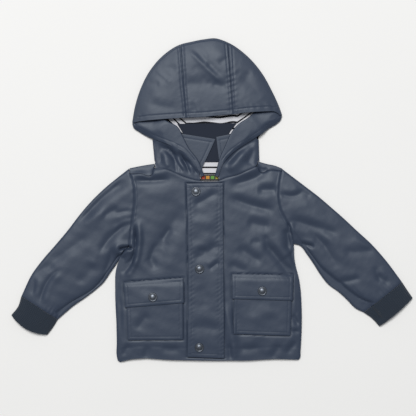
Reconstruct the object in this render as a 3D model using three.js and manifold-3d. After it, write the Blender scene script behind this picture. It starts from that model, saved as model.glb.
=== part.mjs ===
// A toddler's hooded raincoat laid flat on its back with its front up, about size 80, in millimetres.
// +X is the right of the front as it is seen, +Y runs from hem to hood, z = 0 is what it lies on.
// Each cut piece is one closed solid. Every sheet is a mid-surface given a wall on both sides.
import * as THREE from 'three';
import { mergeVertices } from 'three/addons/utils/BufferGeometryUtils.js';
import Module from 'manifold-3d';

const wasm = await Module();
wasm.setup();

// Cloth walls and the gaps between pieces
const CLOTH = 1.8; // coated cloth with its jersey lining
const FACING = 1.4; // facings, collar, pockets and their flaps
const STORM = 2.0; // storm flap, cloth turned double
const JERSEY = 1.2; // striped lining where it shows
const LABEL = 0.8; // woven label
const RIB_WALL = 1.8; // rib knit between its ribs
const RIB_RISE = 0.7; // how far a rib stands out
const RIBS = 20; // ribs across the upper side of a cuff
const SEAM = 0.3; // gap at a seam
const LAID = 0.5; // gap under a piece that lies on a panel

// Heights of the laid layers, all to the middle of a wall
const LOWER = CLOTH / 2; // layer that rests on the surface
const TURN = 1.5; // radius where body and sleeves turn over at the outline
const EDGE = LOWER + 2 * TURN; // upper layer at that outline
const LOFT = 4.0; // how far the upper layer rises inside the outline
const LOFT_REACH = 34; // distance from the outline at which it is full
const FOLD_REACH = 40; // distance from the outline at which the folds are full
const HEM_LOFT = 0.45; // share of the loft that is left at the hem
const HEM_REACH = 50;
const HEM_Y = -265;
const NECK_LIFT = 2.3; // extra rise over the collar inside the neck
const NECK_START = 36;
const NECK_REACH = 24;
const HOOD_TURN = 2.6; // the springy hood turns over in a wider curve
const HOOD_EDGE = LOWER + 2 * HOOD_TURN;
const HOOD_LOFT = 8.0;
const HOOD_REACH = 46;
const HOOD_FOLD_REACH = 60;

// Outline of the body: hem corner, up the side seam to the armpit, up the armhole to the shoulder
const SIDE_LEFT = [
  [-150.5, -267], [-156.3, -255], [-158.8, -180], [-158, -112], [-148, -88.6], [-136.5, -77],
];
const ARMHOLE_LEFT = [[-136.5, -77], [-132, -38.5], [-127.5, 2.5], [-129.5, 27], [-135, 43]];
const SIDE_RIGHT = [
  [145, -262.5], [148, -222], [148.2, -180], [145, -135], [136.8, -98], [135.5, -73.5],
];
const ARMHOLE_RIGHT = [[135.5, -73.5], [128, -43], [114, -15], [110.5, 13], [115.5, 47.5]];
const HEM_LEFT = [[-150.5, -267], [-135, -263], [-110, -261], [-77, -263], [-11.2, -264.5]];
const HEM_RIGHT = [[-11.2, -264.5], [22, -264.5], [55, -264.5], [110, -262], [145, -262.5]];
const FRONT_EDGE = [[-11.2, -264.5], [-11.2, 30.5]];

// Shoulders: the back turns over the top edge and meets the front at a seam set forward
const SHOULDER_EDGE_LEFT = [[-136.5, 52.5], [-122, 55.5], [-108, 58], [-94.5, 60]];
const SHOULDER_SEAM_LEFT = [[-135, 43], [-117.5, 43.5], [-100, 40.5], [-95.5, 52]];
const SHOULDER_EDGE_RIGHT = [[78, 62.5], [90, 60], [104, 57], [117, 52]];
const SHOULDER_SEAM_RIGHT = [[75.5, 56], [80, 46], [97, 49.5], [115.5, 47.5]];
const NECKLINE_LEFT = [[-95.5, 52], [-78.5, 51], [-62.5, 45.5], [-47, 38.5], [-28, 33], [-11.2, 30.5]];
const NECKLINE_RIGHT = [[-11.2, 30.5], [8.5, 31], [24, 36.5], [42, 41], [60, 49], [75.5, 56]];
const SHOULDER_END = 1.8; // how far the back stops short of the rounded head of a sleeve
const NAPE_Y = 64.5; // seam of hood and back
const NAPE = [[-93, NAPE_Y], [-50, NAPE_Y], [-8, NAPE_Y], [33.5, NAPE_Y], [77, NAPE_Y]];
const NECK_SIDE_LEFT = [[-92.7, 65], [-92, 82.5], [-96.5, 100]];
const NECK_SIDE_RIGHT = [[76.7, 65], [76.5, 82.5], [75.8, 100]];

// Sleeve stations: upper edge x, y and lower edge x, y
const SLEEVE_LEFT = [
  [-154.5, 38.5, -149.5, -89.5], [-178, 19, -157.6, -104.2], [-197.5, 0, -168.5, -121],
  [-217.5, -23, -178.5, -136], [-237, -48.5, -192.5, -149], [-258, -73.5, -211, -163],
  [-278.5, -97, -229, -175.5], [-296.5, -121, -242, -186.5], [-314.5, -158, -254, -197],
];
const SLEEVE_RIGHT = [
  [135.5, 38, 146.5, -75], [155.5, 22.5, 159, -90.5], [175.5, 7, 169.5, -106.5],
  [197, -11.5, 179.5, -123], [217.5, -29.5, 192.5, -139.5], [239.5, -50, 210, -152.5],
  [263, -71.5, 224, -165.5], [287.5, -99, 238, -179.5], [314.5, -135, 251, -185.5],
];
const CUFF_LEFT = [
  [-314.8, -158.4, -254.3, -197.4], [-320, -175, -262, -210], [-331.5, -190, -271.5, -222.5],
];
const CUFF_RIGHT = [
  [314.8, -135.4, 251.3, -185.9], [323, -148, 264, -195], [332, -161, 276.5, -208.5],
];
const CUFF_BOW_LEFT = 7.5; // how far the middle of a cuff's end reaches beyond its corners
const CUFF_BOW_RIGHT = 1.5;

// Hood: where each column of cloth leaves the brim, turns over at the outline and ends underneath
const HOOD_SEAM_LEFT = { brim: [-42, 135.3], turn: [-52, 257], nape: [-42, NAPE_Y + SEAM] };
const HOOD_SEAM_RIGHT = { brim: [35, 141], turn: [27.5, 260], nape: [35, NAPE_Y + SEAM] };
const HOOD_LEFT = [
  { brim: [-62, 134.2], turn: [-82, 237.5], nape: [-66, NAPE_Y + SEAM] },
  { brim: [-84, 132.8], turn: [-104, 211], nape: [-88, NAPE_Y + SEAM] },
  { brim: [-103, 131.3], turn: [-118.5, 181.5], nape: [-88, 84] },
  { brim: [-116, 130], turn: [-127, 153.5], nape: [-92.5, 101.5] },
  { brim: [-123.5, 129], turn: [-131.5, 128], nape: [-122, 117.5] },
];
const HOOD_RIGHT = [
  { brim: [52, 143.4], turn: [57.5, 239], nape: [56, NAPE_Y + SEAM] },
  { brim: [72, 145], turn: [82, 211], nape: [72.5, NAPE_Y + SEAM] },
  { brim: [90, 146], turn: [100, 179], nape: [72.5, 84] },
  { brim: [102, 146], turn: [110, 157.5], nape: [73, 101] },
  { brim: [107.5, 144.5], turn: [116, 141], nape: [105, 128.5] },
];
const HOOD_CENTRE = [
  { brim: [-27, 135.8], turn: [-34, 261.5], nape: [-27, NAPE_Y + SEAM] },
  { brim: [-11, 136.7], turn: [-13.5, 265.5], nape: [-11, NAPE_Y + SEAM] },
  { brim: [4, 138.2], turn: [7.5, 267], nape: [4, NAPE_Y + SEAM] },
  { brim: [20, 139.8], turn: [18, 264], nape: [20, NAPE_Y + SEAM] },
];

// Hood front edge turned out as a band: its finished edge and the roll it turns at, tip to neck
const BAND_LEFT = [
  { edge: [-126.5, 117.8], roll: [-117, 142] }, { edge: [-122, 114.5], roll: [-108, 143] },
  { edge: [-108, 106], roll: [-90, 137] }, { edge: [-92, 99.5], roll: [-73, 127.5] },
  { edge: [-75, 93], roll: [-58, 119.5] }, { edge: [-56.5, 84.3], roll: [-48.5, 103] },
  { edge: [-43, 77.2], roll: [-39, 84.5] }, { edge: [-29.3, 62.5], roll: [-24.8, 65.5] },
  { edge: [-17.5, 38.5], roll: [-14, 40] },
];
const BAND_RIGHT = [
  { edge: [110.5, 130], roll: [102, 151] }, { edge: [106, 127.5], roll: [92, 154] },
  { edge: [95, 119], roll: [76, 146] }, { edge: [84, 111], roll: [61, 134] },
  { edge: [62.9, 97.2], roll: [44, 122.5] }, { edge: [43.1, 84.5], roll: [31.6, 106.6] },
  { edge: [30, 74], roll: [23.5, 89] }, { edge: [19, 60.5], roll: [14.5, 68] },
  { edge: [10.5, 38], roll: [7, 39.5] },
];
// Neck of the hood, outside: where each column leaves the neck seam and where it goes under the band
const NECK_LEFT = [
  { seam: [-90.2, 65.5], under: [-94, 100] }, { seam: [-92.2, 52.9], under: [-80, 115] },
  { seam: [-78.3, 51.3], under: [-64, 114] }, { seam: [-62.3, 45.8], under: [-54, 104] },
  { seam: [-46.8, 38.9], under: [-45, 90] }, { seam: [-32, 34.5], under: [-35, 73] },
  { seam: [-19, 32], under: [-21, 50] },
];
const NECK_RIGHT = [
  { seam: [74.2, 65.5], under: [73.4, 100] }, { seam: [73.2, 57], under: [60, 121] },
  { seam: [59.7, 49.5], under: [46, 113] }, { seam: [41.7, 41.5], under: [36, 98] },
  { seam: [24, 37], under: [26, 80] }, { seam: [12, 32.8], under: [13.5, 55] },
];

// Flat pieces: left edge x, y and right edge x, y, a row for each station from top to bottom
const LINING = [[-66, 196, 56, 196], [-80, 150, 70, 152], [-60, 108, 46, 110], [-57, 65.5, 42, 65.5]];
const COLLAR_BACK = [
  [-57, 123.5, 41, 125.6], [-47, 108, 28, 108], [-44, 95, 27, 95], [-40, 62.9, 26, 62.9],
];
const COLLAR_LEFT = [
  [-60, 111, 6, 100.5], [-51, 92, -1, 85], [-40, 73, -9, 68], [-28, 57, -15, 55.5],
  [-18.8, 47.5, -16.8, 47],
];
const COLLAR_RIGHT = [
  [7.5, 104, 42, 111], [8.8, 92, 35, 95], [10.5, 78, 25, 79], [12, 65, 18, 65.5],
  [12.6, 54, 14.8, 54],
];
const NECK_LINING = [[-24, 62.6, 16, 62.6], [-24, 31, 16, 31]];
const WOVEN_LABEL = [[-18.5, 42, 9, 42], [-18.5, 33.5, 9, 33.5]];
const STORM_FLAP = [
  [-41.7, 27.2, 18.5, 28.2], [-39.7, -40, 18.6, -40], [-38.8, -110, 19.4, -110],
  [-39, -190, 20.1, -190], [-40.3, -258.5, 20.4, -260.8],
];
const POCKET_LEFT = [
  [-141, -151, -48, -149], [-140, -190, -47.5, -190], [-138.5, -230.5, -47.5, -230],
];
const POCKET_RIGHT = [
  [37, -141, 132, -142], [36.5, -180, 131, -180], [36, -220.5, 129.5, -223.5],
];
const FLAP_LEFT = [[-145.5, -135.5, -46.8, -128.2], [-142.5, -177, -46, -169]];
const FLAP_RIGHT = [[33.5, -122, 134, -123.5], [34, -162.5, 133, -165.5]];
const POCKET_TOP = 0.28; // share of a flap's height above which it lies on the panel itself

// Snap caps: name, x, y and the piece that each sits on
const SNAPS = [
  ['snap_top', -26, 14, 'storm'], ['snap_middle', -20, -113.5, 'storm'],
  ['snap_bottom', -20.5, -242.5, 'storm'], ['snap_pocket_left', -97, -159.5, 'flap'],
  ['snap_pocket_right', 83, -149.5, 'flap'],
];
// Its outline from the axis out and back: radius and height
const SNAP_PROFILE = [[0, 0], [7.5, 0], [7.3, 1.0], [6.1, 1.1], [5.4, 1.8], [3.2, 2.5], [0, 2.7]];

// Folds: start x, y, middle x, y, end x, y, half width and height (a trough is below zero)
const BODY_FOLDS = [
  [-131.6, 32, -84, 31.5, -67, 35, 7, -1.4],
  [-129.9, -29.5, -128, -84.6, -133, -112, 7, -2.0],
  [-43.6, -8.9, -88, -74, -100.6, -122.6, 13, -1.8],
  [-134.9, -34.5, -171, -62.5, -189, -93.9, 8, -1.9],
  [-153.7, -13.9, -168, -21, -181, -28.5, 7, -1.3],
  [-197.6, -102, -202.5, -118.6, -210.8, -133.5, 7, -1.3],
  [-271.8, -140, -280, -156.6, -286.7, -171.4, 6, -1.2],
  [-258.6, -126.9, -278.4, -143.4, -296.6, -156.6, 6, -1.0],
  [28.5, 25.9, 63, 28.2, 95.8, 51.3, 8, -1.5],
  [74.7, 16.7, 91, 16.7, 108.5, 17.5, 7, -1.2],
  [28, 6, 63, -11, 105.4, -17.3, 8, -1.5],
  [58, -35.1, 79, -43.5, 97.8, -42.6, 9, -1.3],
  [42.7, -76.2, 58.2, -89, 74.2, -97.2, 8, -1.2],
  [88.9, -67.5, 109.3, -102, 137.4, -126.9, 8, -1.7],
  [122, -46, 126, -65, 129, -84, 6, -1.3],
  [22.5, -168.8, 33.4, -222.6, 40.5, -259.4, 9, 0.8],
  [114.3, 8.4, 129, 5, 162, -16.3, 7, -1.7],
  [125.8, -31.8, 176, -43.7, 219.9, -61.7, 9, -1.7],
  [155.5, -46, 197, -84, 208.3, -119.8, 8, -1.8],
  [272.7, -123.6, 284, -133.5, 295.8, -143.4, 6, -1.2],
  [-77.1, 90.9, -62.3, 75.2, -57.3, 43.9, 5, -1.3],
  [-55, 81.8, -44.1, 62.9, -35.2, 42.1, 5, -1.2],
  [54.9, 82.7, 43.3, 66.2, 26.8, 46.4, 8, 0.9],
];
const HOOD_FOLDS = [
  [-39.7, 248.5, -7.8, 214.7, 18.6, 191.6, 8, 1.8],
  [-50, 190, -8, 193, 38, 190, 9, -1.4],
  [-98.6, 214.7, -83.7, 204.8, -68, 194.9, 8, -1.4],
  [-85, 160, -68, 153, -52, 150, 8, -1.1],
  [46.6, 206, 66, 190, 83, 168.5, 11, -1.2],
];

// Plan geometry
const mix = (a, b, t) => a + (b - a) * t;
const mixPoint = (p, q, t) => p.map((value, axis) => mix(value, q[axis], t));
const smooth = (t) => {
  const s = Math.min(Math.max(t, 0), 1);
  return s * s * (3 - 2 * s);
};
const swell = (t) => 1 - (1 - Math.min(Math.max(t, 0), 1)) ** 2; // a pillow's rise from its edge
const joined = (...lines) => lines.flatMap((line, index) => (index ? line.slice(1) : line));
const reversed = (line) => [...line].reverse();

// A point on a line of rows, the share running evenly from row to row
function onLine(rows, share) {
  const place = Math.min(Math.max(share, 0), 1) * (rows.length - 1);
  const index = Math.min(Math.floor(place), rows.length - 2);
  return mixPoint(rows[index], rows[index + 1], place - index);
}

// A line moved sideways, to its left where the distance is above zero
function offsetLine(rows, distance) {
  return rows.map((point, index) => {
    const before = rows[Math.max(index - 1, 0)];
    const after = rows[Math.min(index + 1, rows.length - 1)];
    const length = Math.hypot(after[0] - before[0], after[1] - before[1]);
    return [
      point[0] - ((after[1] - before[1]) / length) * distance,
      point[1] + ((after[0] - before[0]) / length) * distance,
    ];
  });
}

function distanceToLine(rows, x, y) {
  let nearest = Infinity;
  for (let index = 0; index < rows.length - 1; index += 1) {
    const [ax, ay] = rows[index];
    const [bx, by] = rows[index + 1];
    const along = ((x - ax) * (bx - ax) + (y - ay) * (by - ay)) / ((bx - ax) ** 2 + (by - ay) ** 2);
    const t = Math.min(Math.max(along, 0), 1);
    nearest = Math.min(nearest, Math.hypot(x - mix(ax, bx, t), y - mix(ay, by, t)));
  }
  return nearest;
}

// Heights of the upper layers
const upperEdge = (stations) => stations.map(([x, y]) => [x, y]);
const lowerEdge = (stations) => stations.map(([, , x, y]) => [x, y]);
const ARM_LEFT = [...SLEEVE_LEFT, ...CUFF_LEFT];
const ARM_RIGHT = [...SLEEVE_RIGHT, ...CUFF_RIGHT];
const OUTLINES = [
  [...SIDE_LEFT, ...lowerEdge(ARM_LEFT)],
  [...SIDE_RIGHT, ...lowerEdge(ARM_RIGHT)],
  [...reversed(upperEdge(ARM_LEFT)), ...SHOULDER_EDGE_LEFT, ...NECK_SIDE_LEFT],
  [...reversed(upperEdge(ARM_RIGHT)), ...reversed(SHOULDER_EDGE_RIGHT), ...NECK_SIDE_RIGHT],
];
const HOOD_OUTLINE = [
  ...reversed(HOOD_LEFT).map((column) => column.turn), HOOD_SEAM_LEFT.turn,
  ...HOOD_CENTRE.map((column) => column.turn), HOOD_SEAM_RIGHT.turn,
  ...HOOD_RIGHT.map((column) => column.turn),
];
const FOLD_STEPS = 10;

function foldLine([x0, y0, x1, y1, x2, y2]) {
  const curve = new THREE.QuadraticBezierCurve(
    new THREE.Vector2(x0, y0), new THREE.Vector2(x1, y1), new THREE.Vector2(x2, y2));
  return curve.getPoints(FOLD_STEPS).map(({ x, y }) => [x, y]);
}

function foldField(table) {
  const folds = table.map((row) => ({ line: foldLine(row), width: row[6], height: row[7] }));
  return (x, y) => folds.reduce((sum, { line, width, height }) => (
    sum + height * Math.exp(-((distanceToLine(line, x, y) / width) ** 2))), 0);
}

const bodyFolds = foldField(BODY_FOLDS);
const hoodFolds = foldField(HOOD_FOLDS);

function bodyTop(x, y) {
  const inside = Math.min(...OUTLINES.map((line) => distanceToLine(line, x, y)));
  const hem = mix(HEM_LOFT, 1, smooth((y - HEM_Y) / HEM_REACH));
  const loft = LOFT * swell(inside / LOFT_REACH) * hem;
  const lift = NECK_LIFT * smooth((y - NECK_START) / NECK_REACH) * smooth(inside / NECK_REACH);
  return EDGE + loft + lift + bodyFolds(x, y) * smooth(inside / FOLD_REACH) * hem;
}

function hoodTop(x, y) {
  const inside = distanceToLine(HOOD_OUTLINE, x, y);
  const folds = hoodFolds(x, y) * smooth(inside / HOOD_FOLD_REACH);
  return HOOD_EDGE + HOOD_LOFT * swell(inside / HOOD_REACH) + folds;
}

// A point of the front moved out square to its surface
function movedOut(x, y, rise) {
  const step = 1;
  const fallX = bodyTop(x - step, y) - bodyTop(x + step, y);
  const fallY = bodyTop(x, y - step) - bodyTop(x, y + step);
  const normal = new THREE.Vector3(fallX, fallY, 2 * step).normalize();
  return { point: [x + normal.x * rise, y + normal.y * rise, bodyTop(x, y) + normal.z * rise], normal };
}

// Solids
// Gives a grid of mid-surface points its wall. A ring closes on itself along each row.
function wallMesh(grid, wall, { ring = false, relief = () => 0 } = {}) {
  const rows = grid.length;
  const columns = grid[0].length;
  const at = (row, column) => {
    const inRow = Math.min(Math.max(row, 0), rows - 1);
    const inColumn = ring ? (column + columns) % columns : Math.min(Math.max(column, 0), columns - 1);
    return new THREE.Vector3(...grid[inRow][inColumn]);
  };
  const outer = [];
  const inner = [];
  for (let row = 0; row < rows; row += 1) {
    for (let column = 0; column < columns; column += 1) {
      const alongRow = at(row, column + 1).sub(at(row, column - 1));
      const alongColumn = at(row + 1, column).sub(at(row - 1, column));
      const normal = alongRow.cross(alongColumn).normalize();
      const point = at(row, column);
      outer.push(...point.clone().addScaledVector(normal, wall / 2 + relief(column)).toArray());
      inner.push(...point.clone().addScaledVector(normal, -wall / 2).toArray());
    }
  }
  const faces = [];
  const quad = (a, b, c, d) => faces.push(a, b, c, a, c, d);
  const out = (row, column) => row * columns + (column % columns);
  const inn = (row, column) => rows * columns + out(row, column);
  const lastColumn = ring ? columns : columns - 1;
  for (let row = 0; row < rows - 1; row += 1) {
    for (let column = 0; column < lastColumn; column += 1) {
      quad(out(row, column), out(row, column + 1), out(row + 1, column + 1), out(row + 1, column));
      quad(inn(row, column), inn(row + 1, column), inn(row + 1, column + 1), inn(row, column + 1));
    }
    if (!ring) {
      quad(out(row, 0), out(row + 1, 0), inn(row + 1, 0), inn(row, 0));
      quad(out(row, lastColumn), inn(row, lastColumn), inn(row + 1, lastColumn), out(row + 1, lastColumn));
    }
  }
  for (let column = 0; column < lastColumn; column += 1) {
    quad(out(0, column), inn(0, column), inn(0, column + 1), out(0, column + 1));
    quad(out(rows - 1, column), out(rows - 1, column + 1), inn(rows - 1, column + 1), inn(rows - 1, column));
  }
  const geometry = new THREE.BufferGeometry();
  geometry.setAttribute('position', new THREE.Float32BufferAttribute([...outer, ...inner], 3));
  geometry.setIndex(faces);
  return facingOut(geometry);
}

// Turns every face round where the solid is inside out
function facingOut(geometry) {
  const position = geometry.getAttribute('position');
  const index = geometry.getIndex().array;
  const [a, b, c] = [new THREE.Vector3(), new THREE.Vector3(), new THREE.Vector3()];
  let volume = 0;
  for (let face = 0; face < index.length; face += 3) {
    a.fromBufferAttribute(position, index[face]);
    b.fromBufferAttribute(position, index[face + 1]);
    c.fromBufferAttribute(position, index[face + 2]);
    volume += a.dot(b.cross(c));
  }
  if (volume < 0) geometry.setIndex([...index].reverse());
  return geometry;
}

// Joins overlapping walls, and drops the slivers that faces in one plane leave
function unite(...geometries) {
  const solids = geometries.map((geometry) => new wasm.Manifold(new wasm.Mesh({
    numProp: 3,
    vertProperties: new Float32Array(geometry.getAttribute('position').array),
    triVerts: new Uint32Array(geometry.getIndex().array),
  })));
  const bodies = solids.reduce((whole, solid) => whole.add(solid)).decompose();
  const larger = (one, other) => (other.volume() > one.volume() ? other : one);
  const mesh = bodies.reduce(larger).getMesh();
  const geometry = new THREE.BufferGeometry();
  geometry.setAttribute('position', new THREE.Float32BufferAttribute(mesh.vertProperties, 3));
  geometry.setIndex([...mesh.triVerts]);
  return geometry;
}

// A sheet spanned between four edge lines: hem and top run left to right, the sides bottom to top
function panelGrid({ bottom, top, left, right, across, along }, height) {
  const grid = [];
  for (let row = 0; row <= along; row += 1) {
    const v = row / along;
    const line = [];
    for (let column = 0; column <= across; column += 1) {
      const u = column / across;
      const upward = mixPoint(onLine(bottom, u), onLine(top, u), v);
      const sideways = mixPoint(onLine(left, v), onLine(right, v), u);
      const corners = mixPoint(mixPoint(bottom[0], bottom.at(-1), u), mixPoint(top[0], top.at(-1), u), v);
      const [x, y] = [0, 1].map((axis) => upward[axis] + sideways[axis] - corners[axis]);
      line.push([x, y, height(x, y)]);
    }
    grid.push(line);
  }
  return grid;
}

// A sheet between a left and a right edge, a table row for each station, placed by point(x, y, u, v)
function stationGrid(rows, across, along, point) {
  const grid = [];
  for (let row = 0; row <= along; row += 1) {
    const v = row / along;
    const [leftX, leftY, rightX, rightY] = onLine(rows, v);
    const line = [];
    for (let column = 0; column <= across; column += 1) {
      const u = column / across;
      line.push(point(mix(leftX, rightX, u), mix(leftY, rightY, u), u, v));
    }
    grid.push(line);
  }
  return grid;
}

const flatSheet = (rows, across, along, middle, wall) => (
  wallMesh(stationGrid(rows, across, along, (x, y) => [x, y, middle]), wall));
const laidSheet = (rows, across, along, rise, wall) => (
  wallMesh(stationGrid(rows, across, along, (x, y, u, v) => movedOut(x, y, rise(v)).point), wall));

// Points of the half round where cloth turns over at the outline, from the upper layer down
function turnOver([x, y], [outX, outY], radius, steps) {
  const points = [];
  for (let step = 0; step <= steps; step += 1) {
    const angle = (Math.PI * step) / steps;
    const reach = radius * Math.sin(angle) - radius - CLOTH / 2;
    points.push([x + outX * reach, y + outY * reach, LOWER + radius + radius * Math.cos(angle)]);
  }
  return points;
}

// Unit direction out of a line that is walked with its outside on the left
function outward(rows, share) {
  const step = 0.5 / (rows.length - 1);
  const [before, after] = [onLine(rows, share - step), onLine(rows, share + step)];
  const length = Math.hypot(after[0] - before[0], after[1] - before[1]);
  return [-(after[1] - before[1]) / length, (after[0] - before[0]) / length];
}

function backPanel() {
  const [leftX, leftY] = SHOULDER_EDGE_LEFT[0];
  const [rightX, rightY] = SHOULDER_EDGE_RIGHT.at(-1);
  const leftSide = offsetLine(joined(SIDE_LEFT, ARMHOLE_LEFT), -SEAM / 2);
  const rightSide = offsetLine(joined(SIDE_RIGHT, ARMHOLE_RIGHT), SEAM / 2);
  const flat = panelGrid({
    bottom: joined(HEM_LEFT, HEM_RIGHT),
    top: [...SHOULDER_EDGE_LEFT, ...NAPE, ...SHOULDER_EDGE_RIGHT],
    left: [...leftSide, [leftX + SHOULDER_END, leftY]],
    right: [...rightSide, [rightX - SHOULDER_END, rightY]],
    across: SHOULDER_EDGE_LEFT.length + NAPE.length + SHOULDER_EDGE_RIGHT.length - 1,
    along: leftSide.length,
  }, () => LOWER);
  return unite(wallMesh(insetEnds(flat), CLOTH), shoulderTurn(SHOULDER_EDGE_LEFT, SHOULDER_SEAM_LEFT),
    shoulderTurn(SHOULDER_EDGE_RIGHT, SHOULDER_SEAM_RIGHT));
}

// Draws the shoulder edge of the flat back in, so that the turned cloth makes the outline
function insetEnds(grid) {
  const last = grid.at(-1);
  const inset = TURN + CLOTH / 2;
  last.forEach((point, column) => {
    const onLeft = column < SHOULDER_EDGE_LEFT.length;
    const onShoulder = onLeft || column >= last.length - SHOULDER_EDGE_RIGHT.length;
    if (onShoulder) last[column] = [point[0], point[1] - inset, point[2]];
  });
  return grid;
}

const SHOULDER_TAIL = 6; // overlap of the turned shoulder with the flat back
const SHOULDER_SEAM = 1.9 * SEAM; // the gap is wider where the seam turns sharply

function shoulderTurn(edge, seam) {
  const across = 6;
  const seamLine = offsetLine(seam, SHOULDER_SEAM);
  const ends = [edge[0][0] + SHOULDER_END, edge.at(-1)[0] - SHOULDER_END];
  const grid = [];
  for (let column = 0; column <= across; column += 1) {
    const share = column / across;
    const [x, y] = onLine(edge, share);
    const start = [Math.min(Math.max(x, ends[0]), ends[1]), y];
    const turned = turnOver(start, outward(edge, share), TURN, 4);
    const [seamX, seamY] = onLine(seamLine, share);
    const top = turned[0];
    const upper = [0, 0.5].map((t) => {
      const [px, py] = mixPoint([seamX, seamY], top, t);
      return [px, py, mix(bodyTop(px, py), EDGE, t)];
    });
    const tail = turned.at(-1);
    grid.push([...upper, ...turned, [tail[0], tail[1] - SHOULDER_TAIL, LOWER]]);
  }
  return wallMesh(grid, CLOTH);
}

const FRONT_COLUMNS = 16;
const FRONT_ROWS = 3; // to each row of the tables of its side

function frontPanel(side, armhole, hem, seamAndNeck, onLeft) {
  const outer = offsetLine(joined(side, armhole), onLeft ? -SEAM / 2 : SEAM / 2);
  const inner = offsetLine(FRONT_EDGE, onLeft ? SEAM / 2 : -SEAM / 2);
  const top = offsetLine(seamAndNeck, -SEAM / 2);
  const grid = panelGrid({
    bottom: hem,
    top,
    left: onLeft ? outer : inner,
    right: onLeft ? inner : outer,
    across: FRONT_COLUMNS,
    along: FRONT_ROWS * (outer.length - 1),
  }, bodyTop);
  const sideRows = FRONT_ROWS * (side.length - 1);
  grid.slice(0, sideRows + 1).forEach((row) => {
    row.at(onLeft ? 0 : -1)[2] = LOWER + CLOTH + SEAM;
  });
  return wallMesh(grid, CLOTH);
}

// A sleeve or cuff: rings that run over the top from upper to lower edge and back underneath
function tubeGrid(stations, overSteps, underSteps, bend = () => [0, 0]) {
  return stations.map(([ax, ay, bx, by], row) => {
    const length = Math.hypot(bx - ax, by - ay);
    const [dx, dy] = [(bx - ax) / length, (by - ay) / length];
    const inset = TURN + CLOTH / 2 + SEAM;
    const place = (t) => {
      const at = mix(inset, length - inset, t);
      const [offX, offY] = bend(row, at / length);
      return [ax + dx * at + offX, ay + dy * at + offY];
    };
    const ring = [];
    for (let step = 0; step <= overSteps; step += 1) {
      const [x, y] = place(step / overSteps);
      ring.push([x, y, bodyTop(x, y)]);
    }
    const [endX, endY] = place(1);
    const [startX, startY] = place(0);
    ring.push([endX + dx * TURN, endY + dy * TURN, LOWER + TURN]);
    for (let step = 0; step <= underSteps; step += 1) {
      const [x, y] = place(1 - step / underSteps);
      ring.push([x, y, LOWER]);
    }
    ring.push([startX - dx * TURN, startY - dy * TURN, LOWER + TURN]);
    ring[0][2] = EDGE;
    ring[overSteps][2] = EDGE;
    return ring;
  });
}

const HEAD_GAP = 3 * SEAM; // between the rounded head of a sleeve and the shoulder
const ARMPIT_SHIFT = 1.2; // keeps the rounded lower edge off the front at the armpit
const SLEEVE_OVER = 14; // steps over the top of a ring of the sleeve
const SLEEVE_UNDER = 10;
const CUFF_UNDER = 5;
const BEND_STATIONS = 4; // stations over which the bend of the armhole dies away

// The first ring of a sleeve follows the armhole; the bend dies away down the sleeve
function sleeve(armhole, edge, stations, outSign) {
  const seam = reversed(armhole).map(([x, y]) => [x + outSign * SEAM, y]);
  const [armpitX, armpitY] = seam.pop();
  const line = [
    [edge[0] + outSign * HEAD_GAP, edge[1]], ...seam,
    [armpitX + outSign * ARMPIT_SHIFT, armpitY + ARMPIT_SHIFT],
  ];
  const first = [...line[0], ...line.at(-1)];
  const bend = (row, t) => {
    const fade = Math.max(1 - row / BEND_STATIONS, 0) ** 1.5;
    const chord = mixPoint(line[0], line.at(-1), t);
    const total = Math.hypot(first[2] - first[0], first[3] - first[1]);
    const heights = line.map(([, y]) => (first[1] - y) / total);
    const index = Math.max(heights.findIndex((height) => height >= t), 1);
    const share = (t - heights[index - 1]) / (heights[index] - heights[index - 1]);
    return [(mix(line[index - 1][0], line[index][0], share) - chord[0]) * fade, 0];
  };
  const grid = tubeGrid([first, ...stations], SLEEVE_OVER, SLEEVE_UNDER, bend);
  return wallMesh(grid, CLOTH, { ring: true });
}

function cuff(stations, bow) {
  const overSteps = RIBS * 2;
  const relief = (column) => (column > 0 && column < overSteps && column % 2 ? RIB_RISE : 0);
  const [startX, startY] = stations[0];
  const [endX, endY] = stations.at(-1);
  const length = Math.hypot(endX - startX, endY - startY);
  const bend = (row, t) => {
    const reach = bow * smooth(row / (stations.length - 1)) * Math.sin(Math.PI * t) ** 0.8;
    return [((endX - startX) / length) * reach, ((endY - startY) / length) * reach];
  };
  return wallMesh(tubeGrid(stations, overSteps, CUFF_UNDER, bend), RIB_WALL, { ring: true, relief });
}

const HOOD_COLUMNS = 10; // in each panel
const HOOD_UPPER = [0, 0.12, 0.25, 0.38, 0.52, 0.66, 0.8, 0.92]; // shares from brim to outline
const HOOD_LOWER = [0.35, 0.7, 1]; // shares from outline to nape
const pick = (rows, key, share) => onLine(rows.map((row) => row[key]), share);

// A hood panel: each column runs from the brim to the outline, turns over and lies underneath
function hoodGrid(columns) {
  const grid = [];
  for (let column = 0; column <= HOOD_COLUMNS; column += 1) {
    const share = column / HOOD_COLUMNS;
    const [brim, turn, nape] = ['brim', 'turn', 'nape'].map((key) => pick(columns, key, share));
    const turned = turnOver(turn, hoodOut(turn), HOOD_TURN, 5);
    const upper = HOOD_UPPER.map((t) => {
      const [x, y] = mixPoint(brim, turned[0], t);
      return [x, y, hoodTop(x, y)];
    });
    const end = turned.at(-1).slice(0, 2);
    const lower = HOOD_LOWER.map((t) => [...mixPoint(end, nape, t), LOWER]);
    grid.push([...upper, ...turned, ...lower]);
  }
  return grid;
}

// Direction out of the hood at a point of its outline
function hoodOut([x, y]) {
  const step = 6;
  let best = [0, 1];
  let nearest = Infinity;
  for (let index = 0; index < HOOD_OUTLINE.length - 1; index += 1) {
    for (let part = 0; part <= step; part += 1) {
      const share = (index + part / step) / (HOOD_OUTLINE.length - 1);
      const [px, py] = onLine(HOOD_OUTLINE, share);
      const away = Math.hypot(px - x, py - y);
      if (away < nearest) {
        nearest = away;
        best = outward(HOOD_OUTLINE, share);
      }
    }
  }
  return best;
}

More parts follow.
